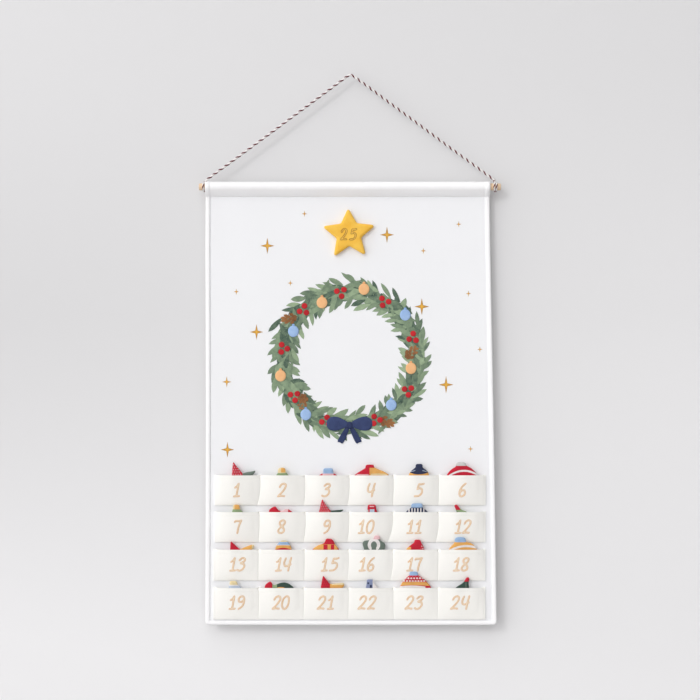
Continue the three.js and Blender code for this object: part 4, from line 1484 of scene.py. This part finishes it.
class CALENDAR_OT_panel(bpy.types.Operator):
    """Sews the sleeve, the front cloth with its puffed hems, the interlining and the back lining"""

    bl_idname = "calendar.panel"
    bl_label = "Panel"

    def execute(self, context):
        settings = context.scene.calendar_cloth
        # The panel cloth's hems and sleeve are painted in the paler hem colour: painted light.
        white = woven("panel_cloth", settings.panel[:], settings.weave, 0.1 * MM, settings.hems[:])
        plain = woven("lining_cloth", settings.lining[:], settings.weave * 0.8, 0.08 * MM)
        fleece = woven("interlining_fleece", settings.lining[:], settings.weave * 2, 0.2 * MM)
        self.sleeve(white)
        self.front(white)
        inset, front_y = HEM_WIDTH + SEAT_GAP, FACE_Y + FRONT_CLOTH
        self.layer("panel_interlining", fleece, "interlining", inset, front_y, INTERLINING)
        self.layer("panel_lining", plain, "back_lining", 0, BACK_Y - LINING, LINING)
        return {"FINISHED"}

    def sleeve(self, white):
        outer, inner, along = sleeve_path()
        width = PANEL_RIGHT_TOP - PANEL_LEFT
        edge = np.arange(0, 1.4, 0.1) * HEM_WIDTH
        middle = np.linspace(edge[-1], width - edge[-1], 140)[1:-1]
        x = PANEL_LEFT + np.concatenate((edge, middle, width - edge[::-1]))
        end = np.minimum(x - x[0], x[-1] - x)
        tuck = 0.4 * MM * hump(end, 0.8 * MM)
        band = 0.5 * hem_rise(end)
        rows, columns = len(outer), len(x)
        grids = []
        for section, sign in ((outer, 1), (inner, -1)):
            size = np.linalg.norm(section, axis=1)[:, None]
            ripple = 0.2 * np.sin(x / 0.021 + 0.6 * np.sin(x / 0.05)) + 0.14 * np.sin(x / 0.0094)
            free = np.clip((along[-1] * 0.42 - along) / (along[-1] * 0.42), 0, 1)[:, None]
            front = np.clip((along[-1] * 0.55 - along) / (along[-1] * 0.15), 0, 1)[:, None]
            bulge = ripple * np.sin(math.pi * free) * MM + band * front if sign > 0 else 0
            shrink = 1 - (sign * tuck[None] - bulge) / np.maximum(size, 1e-6)
            grid = np.zeros((rows, columns, 3))
            grid[..., 0] = x
            grid[..., 1] = np.minimum(section[:, :1] * shrink, SLEEVE_OUTER)
            grid[..., 2] = DOWEL_AXIS_Z + section[:, 1:] * shrink
            grids.append(grid)
        cloth = np.stack(np.broadcast_arrays(x[None], along[:, None]), -1)
        piece = closed_sheet("sleeve_cloth", *grids, cloth, white, 0.3 * MM)
        # The whole sleeve takes the paler hem colour: painted light.
        give_values(piece, "hem", np.ones(len(piece.data.vertices)))
        keep(piece, "panel", "panel_cloth", "rod_sleeve")

    def front(self, white):
        steps = np.concatenate((np.arange(0, 0.9, 0.1), np.arange(0.9, 1.25, 0.045), (1.35,)))
        fine = steps * HEM_WIDTH
        rows = np.concatenate((fine, np.linspace(fine[-1], PANEL_TOP - PANEL_BOTTOM, 262)[1:]))
        z = PANEL_BOTTOM + rows
        width = panel_right(z) - PANEL_LEFT
        span = np.linspace(0, 1, 106)[1:-1]
        columns = [np.full_like(z, value) for value in fine]
        columns += [fine[-1] + (width - 2 * fine[-1]) * share for share in span]
        columns += [width - value for value in fine[::-1]]
        x = PANEL_LEFT + np.stack(columns, 1)
        z = np.broadcast_to(z[:, None], x.shape).copy()
        face = panel_face(x, z)
        turned = np.interp(panel_inset(x, z), (0, 0.9 * HEM_WIDTH, HEM_WIDTH), (1, 1, 0)) * INTERLINING
        x, z = self.round_corners(x, z)
        front = drape(np.stack((x, face, z), -1))
        back = drape(np.stack((x, FACE_Y + FRONT_CLOTH + turned - 0.02 * MM, z), -1))
        piece = closed_sheet("panel_cloth", front, back, np.stack((x, z), -1), white, 0.5 * MM)
        x, _, z = places_of(piece)
        # The hem band takes the paler hem colour: painted light.
        inset = panel_inset(x, z) / HEM_WIDTH
        give_values(piece, "hem", np.interp(inset, (0.95, 1.05), (1, 0)))
        keep(piece, "panel", "panel_cloth", "front_panel")

    def round_corners(self, x, z):
        """Draws the points of the two bottom corners in to a round."""
        radius = 6.5 * MM
        down = np.clip((PANEL_BOTTOM + radius - z) / radius, 0, 1)
        for side in (-1, 1):
            corner = PANEL_LEFT + radius if side < 0 else panel_right(z) - radius
            out = np.clip(side * (x - corner) / radius, 0, 1)
            both = (out > 0) & (down > 0)
            scale = np.where(both, np.maximum(out, down) / np.maximum(np.hypot(out, down), 1e-9), 1)
            x = np.where(both, corner + side * out * scale * radius, x)
            z = np.where(both, PANEL_BOTTOM + radius - down * scale * radius, z)
        return x, z

    def layer(self, name, material, node, inset, front_y, thickness):
        shares = np.concatenate(((0, 0.004, 0.012), np.linspace(0.02, 0.98, 60), (0.988, 0.996, 1)))
        z = PANEL_BOTTOM + inset + (PANEL_TOP - PANEL_BOTTOM - inset) * shares
        left = PANEL_LEFT + inset
        x = left + (panel_right(z) - inset - left)[:, None] * shares[None]
        z = np.broadcast_to(z[:, None], x.shape).copy()
        groove = hump(panel_inset(x, z) - HEM_WIDTH, 1.6 * MM) * 0.15 * MM
        x, z = self.round_corners(x, z) if inset == 0 else (x, z)
        front = drape(np.stack((x, np.full_like(x, front_y), z), -1))
        back = drape(np.stack((x, front_y + thickness - groove, z), -1))
        piece = closed_sheet(name, front, back, np.stack((x, z), -1), material, 0.15 * MM)
        keep(piece, "panel", "interlining" if node == "interlining" else "lining_cloth", node)


class CALENDAR_OT_pockets(bpy.types.Operator):
    """Sews the four strips that make the pockets"""

    bl_idname = "calendar.pockets"
    bl_label = "Pockets"

    def execute(self, context):
        settings = context.scene.calendar_cloth
        warm = woven("pocket_cloth", settings.pockets[:], settings.weave, 0.1 * MM, billow=True)
        for row, (low, high) in enumerate(STRIPS):
            self.strip(row, low, high, warm)
        return {"FINISHED"}

    def strip(self, row, low, high, warm):
        shares = np.linspace(-1, 1, 45)
        shares = np.sign(shares) * (1 - (1 - np.abs(shares)) ** 1.6)
        ends = (-END_FLAP, -0.6 * MM, 0.6 * MM, 1.8 * MM)
        inner_x = list(low.x + np.linspace(-LEFT_FLAPS[row], 1.8 * MM, 4))
        outer_x = list(inner_x)
        for pocket in range(POCKETS):
            middle = low.x + (pocket + 0.5) * POCKET_PITCH
            inner_x += list(middle + shares * POCKET_HALF)
            outer_x += list(middle + shares * (POCKET_HALF + 0.3 * STRIP_CLOTH))
            if pocket < POCKETS - 1:
                for off in (-0.9, -0.4, 0, 0.4, 0.9):
                    inner_x.append(low.x + (pocket + 1) * POCKET_PITCH + off * MM)
                    outer_x.append(inner_x[-1])
        inner_x += [high.x - end for end in ends[::-1]]
        outer_x += [high.x - end for end in ends[::-1]]
        rises = np.linspace(0, 1, 30) ** 1.5 * (POCKET_HEIGHT - FLOOR_SEAM)
        hem = POCKET_HEIGHT - np.array((6.2, 5.8, 5.5, 5.2, 4.8, 4, 3.2, 2.4, 1.6, 0.8)) * MM
        foot = (0, 0.5 * MM, 1.5 * MM, FLOOR_SEAM)
        up = np.unique(np.round(np.concatenate((foot, FLOOR_SEAM + rises, hem)), 6))
        grids = []
        for across, inner in ((outer_x, False), (inner_x, True)):
            x, height = np.meshgrid(np.array(across), up)
            y = pocket_face(row, x, height, inner)
            z = low.z + height * (high.z - low.z) / POCKET_HEIGHT
            grids.append(drape(np.stack((x, y, z), -1)))
        mouth = distances_along(grids[0][-1])
        cloth = np.stack(np.broadcast_arrays(mouth[None], up[:, None]), -1)
        piece = closed_sheet(f"pockets_row_{row + 1}", *grids, cloth, warm, 0.25 * MM)
        x, _, z = places_of(piece)
        give_values(piece, "billow", pocket_billow(row, x, height_in(row, z)))
        keep(piece, "panel", "pocket_cloth", f"pocket_strip_row_{row + 1}")


class CALENDAR_OT_stitches(bpy.types.Operator):
    """Sews the stitch lines of the hems, the sleeve and the pocket strips"""

    bl_idname = "calendar.stitches"
    bl_label = "Stitches"

    def execute(self, context):
        settings = context.scene.calendar_cloth
        white = threads("sewing_thread_cool", darker(settings.panel[:], 0.08))
        warm = threads("sewing_thread_warm", darker(settings.pockets[:], 0.06))
        inset = HEM_WIDTH
        low = PANEL_BOTTOM + inset
        left, right = PANEL_LEFT + inset, panel_right(low) - inset
        corners = ((left, PANEL_TOP), (left, low), (right, low), (PANEL_RIGHT_TOP - inset, PANEL_TOP))
        lines = []
        for start, end in zip(corners, corners[1:]):
            lines += stitch_line(panel_face, start, end)
        seam = PANEL_TOP - 1.6 * MM
        lines += stitch_line(panel_face, (PANEL_LEFT + 1 * MM, seam), (PANEL_RIGHT_TOP - 1 * MM, seam))
        panel = thread("hem_stitches", [drape(line) for line in lines], 0.2 * MM, white)
        keep(panel, "panel", "panel_cloth")
        back = []
        for start, end in zip(corners, corners[1:]):
            back += stitch_line(lambda x, z: np.full_like(x, -BACK_Y + 0.12 * MM), start, end)
        mirrored = [drape(line * (1, -1, 1)) for line in back]
        keep(thread("lining_stitches", mirrored, 0.2 * MM, white), "panel", "lining_cloth")
        for row, (strip_low, strip_high) in enumerate(STRIPS):
            self.strip(row, strip_low, strip_high, warm)
        return {"FINISHED"}

    def strip(self, row, low, high, warm):
        def face(x, z):
            return pocket_face(row, x, height_in(row, z))

        edge = 1.3 * MM
        mouth = high.z - MOUTH_HEM
        lines = stitch_line(face, (low.x + edge, low.z + edge), (high.x - edge, low.z + edge))
        for border in range(POCKETS + 1):
            x = low.x + border * POCKET_PITCH
            x = min(max(x, low.x + edge), high.x - edge)
            for line in stitch_line(face, (x, low.z + edge), (x, high.z - edge)):
                line[:, 0] -= seam_shift(row, border, height_in(row, line[:, 2]))
                line[:, 1] = face(line[:, 0], line[:, 2]) + (0.18, -0.06, -0.06, 0.18) * np.array(MM)
                lines.append(line)
        for pocket in range(POCKETS):
            middle, reach = low.x + (pocket + 0.5) * POCKET_PITCH, 0.93 * POCKET_HALF
            lines += stitch_line(face, (middle - reach, mouth), (middle + reach, mouth))
        piece = thread(f"pocket_stitches_row_{row + 1}", [drape(line) for line in lines], 0.14 * MM, warm)
        keep(piece, "panel", "pocket_cloth")


class CALENDAR_OT_numbers(bpy.types.Operator):
    """Embroiders the outlined numbers on the pockets"""

    bl_idname = "calendar.numbers"
    bl_label = "Numbers"

    def execute(self, context):
        settings = context.scene.calendar_numbers
        gold = threads("number_thread", settings.colour[:])
        peach = threads("number_filling", settings.filling[:])
        outlines, centres = digit_outlines(settings.stroke), digit_centres()
        wide = (settings.stroke * settings.height - 0.4 * settings.thread) / 2
        for row in range(len(STRIPS)):
            lines = self.laid(row, outlines, settings, -0.3 * settings.thread)
            piece = thread(f"numbers_row_{row + 1}", lines, settings.thread / 2, gold, closed=True)
            lines = self.laid(row, centres, settings, wide - 0.3 * MM)
            filling = thread("filling", lines, wide, peach)
            keep(join(piece, filling), "panel", "star_cloth")
        return {"FINISHED"}

    def laid(self, row, shapes, settings, sink):
        """Lines of a row's numbers on the strip, a little in front of its cloth or sunk into it."""
        low, high = STRIPS[row]
        lines = []
        for pocket in range(POCKETS):
            x = low.x + (pocket + 0.5) * POCKET_PITCH + NUMBER_SHIFTS[row][pocket] * MM
            number = row * POCKETS + pocket + 1
            advance = ADVANCES.get(number, ADVANCE)
            for line in written(number, shapes, settings.height, settings.slant, advance):
                across, z = x + line[:, 0], high.z + NUMBER_RISE * MM - POCKET_HEIGHT + line[:, 1]
                y = pocket_face(row, across, height_in(row, z)) + sink
                lines.append(drape(np.stack((across, y, z), 1)))
        return lines


class CALENDAR_OT_star(bpy.types.Operator):
    """Stuffs the star and embroiders its number"""

    bl_idname = "calendar.star"
    bl_label = "Star"

    def execute(self, context):
        settings = context.scene.calendar_numbers
        outline = self.outline()
        middle = np.array((-1.7 * MM, DOWEL_AXIS_Z - 75.6 * MM))
        loft, edge, reach = STAR[1].y - STAR[0].y, 2.4 * MM, 5.4 * MM
        points, faces = pad(outline, (0, 0), loft, edge, reach, rings=18, tuck=0.05)
        places = set_down(points * (1, 1, -1), middle, FACE_Y - SEAT_GAP)
        star = add_mesh("star_pad", drape(places), faces, golden_felt("star_felt", settings.star[:]))
        reshape(star, "SMOOTH", factor=0.5, iterations=3)
        smooth(star, 60)
        keep(star, "panel", "star_cloth", "star_cushion")

        def laid(shapes, sink):
            lines = []
            for line in written(25, shapes, settings.star_height, slant=0.06, advance=0.84):
                line = line + (-0.7 * MM, -0.5 * MM)
                y = FACE_Y - SEAT_GAP - swell(line, outline, loft, edge, reach) + sink
                lines.append(drape(np.stack((middle[0] + line[:, 0], y, middle[1] + line[:, 1]), 1)))
            return lines

        brown = threads("star_thread", settings.star_outline[:])
        peach = threads("star_filling", settings.star_filling[:])
        number = thread("star_number", laid(digit_outlines(0.13), 0), 0.36 * MM, brown, closed=True)
        filling = thread("star_filling", laid(digit_centres(), 0.55 * MM), 0.7 * MM, peach)
        keep(join(number, filling), "panel", "star_cloth")
        return {"FINISHED"}

    def outline(self):
        """Five blunt points, none quite like the next."""
        corners = []
        for turn, tip, valley in STAR_POINTS:
            turn = math.radians(turn)
            for angle, size in ((turn - 0.042, tip), (turn + 0.042, tip), (turn + math.pi / 5, valley)):
                corners.append(size * MM * round_places(angle))
        return even_outline(cut_corners(along_sides(corners, (0, 0.15, 0.3, 0.5, 0.7, 0.85)), 3), 180)


def ornament_outline(look, half, height, mouth, shift):
    """The outline of an ornament, anticlockwise from its foot's left: a plain form below the pocket's
    mouth, and the printed shape that stands out of it. Also the height at which it is widest."""
    if look["form"] == "bauble":
        rise = (height - 0.1 * POCKET_HEIGHT) / 2
        angles = np.linspace(0, TAU, 90, endpoint=False)
        hidden = round_places(angles) * (half, rise) + (0, rise)
    elif look["form"] == "cone":
        hidden = cut_corners(np.array(CONE_ROUND) * (half, height), 3)
    else:
        right = np.array(BELL_RIGHT if look["form"] == "bell" else SPRIG_RIGHT) * (half, height)
        hidden = cut_corners(np.concatenate((right, right[right[:, 0] > 0][::-1] * (-1, 1))), 3)
    hidden = even_outline(hidden, 110)
    hidden = np.roll(hidden, -int(hidden[:, 1].argmax()), axis=0)
    hidden = hidden[hidden[:, 1] < mouth - 7 * MM]
    top = np.array([place.split(",") for place in look["top"].split()], float) * MM
    top = np.stack((top[:, 0] - shift, mouth + top[:, 1] / math.cos(ORNAMENT_LEAN)), 1)
    outline = np.concatenate((hidden, top[::-1]))
    return even_outline(cut_corners(outline, 2), 150), height * 0.45


class CALENDAR_OT_ornaments(bpy.types.Operator):
    """Stuffs the twenty-four ornaments and stands them in their pockets"""

    bl_idname = "calendar.ornaments"
    bl_label = "Ornaments"

    def execute(self, context):
        for number in range(1, len(LOOKS) + 1):
            self.ornament(number)
        return {"FINISHED"}

    def ornament(self, number):
        look = LOOKS[number - 1]
        node = f"ornament_{number:02d}"
        low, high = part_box(node)
        row = (number - 1) // POCKETS
        lift = ROW_LIFTS[row]
        strip = STRIPS[row][1]
        foot = strip.z - POCKET_HEIGHT + ORNAMENT_FOOT
        reach = {"cone": (0.97, 0.98), "sprig": (0.98, 0.98)}.get(look["form"], (1, 1))
        half = (high.x - low.x) / sum(reach)
        x = low.x + reach[0] * half
        shift = x - STRIPS[row][0].x - ((number - 1) % POCKETS + 0.5) * POCKET_PITCH
        lean, upright = math.sin(ORNAMENT_LEAN), math.cos(ORNAMENT_LEAN)
        mouth = (POCKET_HEIGHT - ORNAMENT_FOOT) / upright
        outline, belly = ornament_outline(look, half, (high.z + lift - foot) / upright, mouth, shift)
        points, faces = pad(outline, (0, belly), ORNAMENT_LOFT, ORNAMENT_EDGE, ORNAMENT_REACH, rings=13)
        out = SEAT_GAP + points[:, 1] * lean + points[:, 2] * upright
        z = foot + points[:, 1] * upright - points[:, 2] * lean
        felt = printed_felt(f"felt_{number:02d}", look["cloth"], look["prints"], look["dots"])
        places = drape(np.stack((x + points[:, 0], FACE_Y - out, z), 1))
        piece = add_mesh(f"ornament_pad_{number:02d}", places, faces, felt)
        up = (points[:, 1] - mouth) * upright
        give_values(piece, "place", np.stack((points[:, 0] + shift, up, 0 * up), 1) / MM)
        smooth(piece, 60)
        tint = look["cloth"].split("_")[-1].replace("white", "cream")
        keep(piece, node, f"ornament_{tint}", node)


def leaf(base, direction, length, width, lift, bend):
    """One pointed leaf lying on the cloth: points (X, out, Z) and faces, raised along its rib."""
    along = np.linspace(0, 1, 7)
    half = width / 2 * np.sin(math.pi * along) ** 0.75 * (1 - 0.25 * along)
    turn = direction + bend * along
    rib = np.cumsum([base, *(length / 6 * round_places(turn[1:]))], axis=0)
    side = np.stack((-np.sin(turn), np.cos(turn)), 1) * half[:, None]
    height = lift * (0.35 + 0.65 * along)
    rows = [(rib + side, height), (rib, height + 0.18 * MM), (rib - side, height)]
    points = np.concatenate([np.c_[flat[:, 0], out, flat[:, 1]] for flat, out in rows])
    faces = []
    for row in range(2):
        for k in range(6):
            a = row * 7 + k
            faces.append([a, a + 7, a + 8, a + 1])
    return points, faces


class CALENDAR_OT_wreath(bpy.types.Operator):
    """Prints a wreath of leaves, berries and baubles, and the sparkles round it"""

    bl_idname = "calendar.wreath"
    bl_label = "Wreath and sparkles"

    def execute(self, context):
        settings = context.scene.calendar_wreath
        middle = np.array((-1.4 * MM, settings.middle_z))
        self.leaves(settings, middle)
        self.fruit(settings, middle)
        self.bow(settings, middle)
        self.sparkles(settings)
        return {"FINISHED"}

    def lay(self, name, parts, tones, material, slot, thickness=0.12 * MM):
        """Lays shapes (X, out, Z) on the panel's face as one thin closed print."""
        points, faces = gather(parts)
        flat = panel_face(points[:, 0], points[:, 2])
        points = np.stack((points[:, 0], flat - points[:, 1], points[:, 2]), 1)
        piece = add_mesh(name, drape(points), faces, material)
        shades = [np.broadcast_to(tone, len(part[0])) for tone, part in zip(tones, parts)]
        give_values(piece, "tone", np.concatenate(shades))
        if thickness:
            reshape(piece, "SOLIDIFY", thickness=thickness, offset=-1)
        smooth(piece, 50)
        return keep(piece, "panel", slot)

    def leaves(self, settings, middle):
        random = np.random.RandomState(settings.seed)
        parts, tones = [], []
        for lane in (-0.8, 0.8, -2, 2, -1, 1, 0):
            under = abs(lane) == 0.8
            for k in range(settings.leaves):
                angle = TAU * (k + 0.31 * lane) / settings.leaves + random.normal(0, 0.02)
                radius = settings.radius + (lane * 12.5 + random.normal(0, 2.2)) * MM
                base = middle + radius * round_places(angle)
                direction = angle - math.pi / 2 - lane * 0.42 + random.normal(0, 0.2)
                length = (30 + random.uniform(-6, 7)) * MM
                width = (14 if under else 9 + random.uniform(-1.4, 2)) * MM
                lift = (0.15 if under else 0.5 + 0.28 * (2 - abs(lane)) + 0.2 * random.rand()) * MM
                parts.append(leaf(base, direction, length, width, lift, random.normal(0, 0.3)))
                tone = 0 if under else 0.55 - 0.1 * (2 - abs(lane)) + random.normal(0, 0.32)
                tones.append(np.clip(tone, 0, 1))
        greens = brushed_print("leaf_print", srgb(160, 180, 146), srgb(62, 84, 74), 150)
        self.lay("wreath_leaves", parts, tones, greens, "ornament_green")

    def round_shape(self, centre, wide, tall, loft):
        angles = np.linspace(0, TAU, 28, endpoint=False)
        outline = round_places(angles) * (wide, tall)
        points, faces = pad(outline, (0, 0), loft, 0.35 * loft, min(wide, tall) * 0.8, rings=6)
        return set_down(points, centre, 0.9 * MM), faces

    def fruit(self, settings, middle):
        def on_ring(turn, off=0):
            return middle + (settings.radius + off * MM) * round_places(math.radians(turn))

        berries, tones = [], []
        for turn in (18, 58, 97, 133, 171, 214, 249, 293, 331):
            for off, swing in ((-6, 0), (3, 3.4), (4, -2.6)):
                berries.append(self.round_shape(on_ring(turn + swing, off), 4.6 * MM, 4.6 * MM, 1.1 * MM))
                tones.append(0.35 + 0.3 * (off > 0))
        reds = brushed_print("berry_print", srgb(214, 44, 50), srgb(150, 22, 34), 160)
        self.lay("wreath_berries", berries, tones, reds, "ornament_red", 0)
        sets = (
            ("blue", (38, 154, 232, 312), srgb(178, 204, 238), srgb(120, 156, 208), "ornament_blue"),
            ("peach", (78, 116, 194, 351), srgb(248, 200, 148), srgb(226, 160, 104), "ornament_gold"),
        )
        for name, turns, light, dark, slot in sets:
            spots = [on_ring(turn, 7 * (-1) ** k) for k, turn in enumerate(turns)]
            balls = [self.round_shape(spot, 8.6 * MM, 9.2 * MM, 1.5 * MM) for spot in spots]
            knobs = [self.round_shape(spot + (0, 10 * MM), 2.3 * MM, 2 * MM, 1.2 * MM) for spot in spots]
            paint = brushed_print(f"{name}_print", light, dark, 120)
            self.lay(f"wreath_baubles_{name}", balls + knobs, [0.6] * 4 + [0.1] * 4, paint, slot, 0)
        scales, tones = [], []
        for turn, off in ((5, -8), (146, 8), (222, -6), (300, 10)):
            centre = on_ring(turn, off)
            tilt = math.radians(turn + 40)
            axis = round_places(tilt)
            side = np.array((-axis[1], axis[0]))
            for layer in range(5):
                for place in range(-1, 2) if layer % 2 else (-0.5, 0.5):
                    wide = (3.6 - abs(layer - 1.6)) * 1.25 * MM
                    base = centre + axis * (4.6 * layer - 12) * MM + side * place * wide
                    scales.append(leaf(base, tilt + place * 0.5, 9 * MM, 6 * MM, (1.9 - 0.2 * layer) * MM, 0))
                    tones.append(0.25 + 0.14 * layer)
        browns = brushed_print("cone_print", srgb(176, 122, 76), srgb(92, 56, 38), 200)
        self.lay("wreath_cones", scales, tones, browns, "dowel_wood")

    def bow(self, settings, middle):
        knot = middle + (0, -settings.radius)
        parts = []
        for side in (1, -1):
            for shape, loft, rise in ((BOW_TAIL, 0.5, 1.2), (BOW_LOOP, 1.5, 1.5)):
                outline = np.array(shape) * (side * MM, MM)
                if np.cross(outline, np.roll(outline, -1, axis=0)).sum() < 0:
                    outline = outline[::-1]
                outline = even_outline(cut_corners(outline, 2), 48)
                points, faces = pad(outline, outline.mean(0), loft * MM, 0.2 * MM, 6 * MM, rings=6)
                parts.append((set_down(points, knot, rise * MM), faces))
        centre = self.round_shape(knot, 5 * MM, 6 * MM, 1.6 * MM)
        parts.append((centre[0] + (0, 1.4 * MM, 0), centre[1]))
        navy = brushed_print("bow_print", srgb(66, 80, 124), srgb(30, 38, 70), 130)
        self.lay("wreath_bow", parts, [0.3, 0.6, 0.3, 0.6, 0.2], navy, "ornament_navy", 0)

    def sparkles(self, settings):
        parts, tones = [], []
        for x, z, size in SPARKLES:
            reach = np.array((0.54, 0.63)) * size * MM
            outline = along_sides(SPARKLE_CORNERS, np.arange(7) / 7) * reach
            points, faces = pad(outline, (0, 0), 0.3 * MM, 0.14 * MM, 0.08 * size * MM, rings=4)
            inside = 1 - (np.abs(points[:, :2] / reach) ** SPARKLE_PINCH).sum(1)
            tones.append(np.clip(0.25 + 2.2 * inside, 0, 1))
            parts.append((set_down(points, (x * MM, z * MM), -0.02 * MM), faces))
        ink = brushed_print("sparkle_print", settings.sparkle[:], settings.sparkle_edge[:], 300)
        self.lay("sparkle_prints", parts, tones, ink, "star_cloth", 0)


class CALENDAR_PT_panel(bpy.types.Panel):
    """Lists the calendar's pieces in the sidebar"""

    bl_label = "Fabric countdown calendar"
    bl_idname = "CALENDAR_PT_panel"
    bl_space_type = "VIEW_3D"
    bl_region_type = "UI"
    bl_category = "Calendar"

    def draw(self, context):
        for group in PROPERTY_GROUPS:
            settings = getattr(context.scene, group)
            for name in settings.__annotations__:
                self.layout.prop(settings, name)
        for operator in OPERATORS:
            self.layout.operator(operator.bl_idname)


PROPERTY_GROUPS = {
    "calendar_stage": CalendarStage,
    "calendar_twine": CalendarTwine,
    "calendar_cloth": CalendarCloth,
    "calendar_numbers": CalendarNumbers,
    "calendar_wreath": CalendarWreath,
}
OPERATORS = (
    CALENDAR_OT_stage,
    CALENDAR_OT_twine,
    CALENDAR_OT_dowel,
    CALENDAR_OT_panel,
    CALENDAR_OT_pockets,
    CALENDAR_OT_stitches,
    CALENDAR_OT_numbers,
    CALENDAR_OT_star,
    CALENDAR_OT_ornaments,
    CALENDAR_OT_wreath,
)


def register():
    for name, group in PROPERTY_GROUPS.items():
        bpy.utils.register_class(group)
        setattr(bpy.types.Scene, name, PointerProperty(type=group))
    for kind in (*OPERATORS, CALENDAR_PT_panel):
        bpy.utils.register_class(kind)


def unregister():
    for kind in (CALENDAR_PT_panel, *reversed(OPERATORS)):
        bpy.utils.unregister_class(kind)
    for name, group in PROPERTY_GROUPS.items():
        delattr(bpy.types.Scene, name)
        bpy.utils.unregister_class(group)


def main():
    register()
    for operator in OPERATORS:
        group, name = operator.bl_idname.split(".")
        getattr(getattr(bpy.ops, group), name)()


if __name__ == "__main__":
    main()
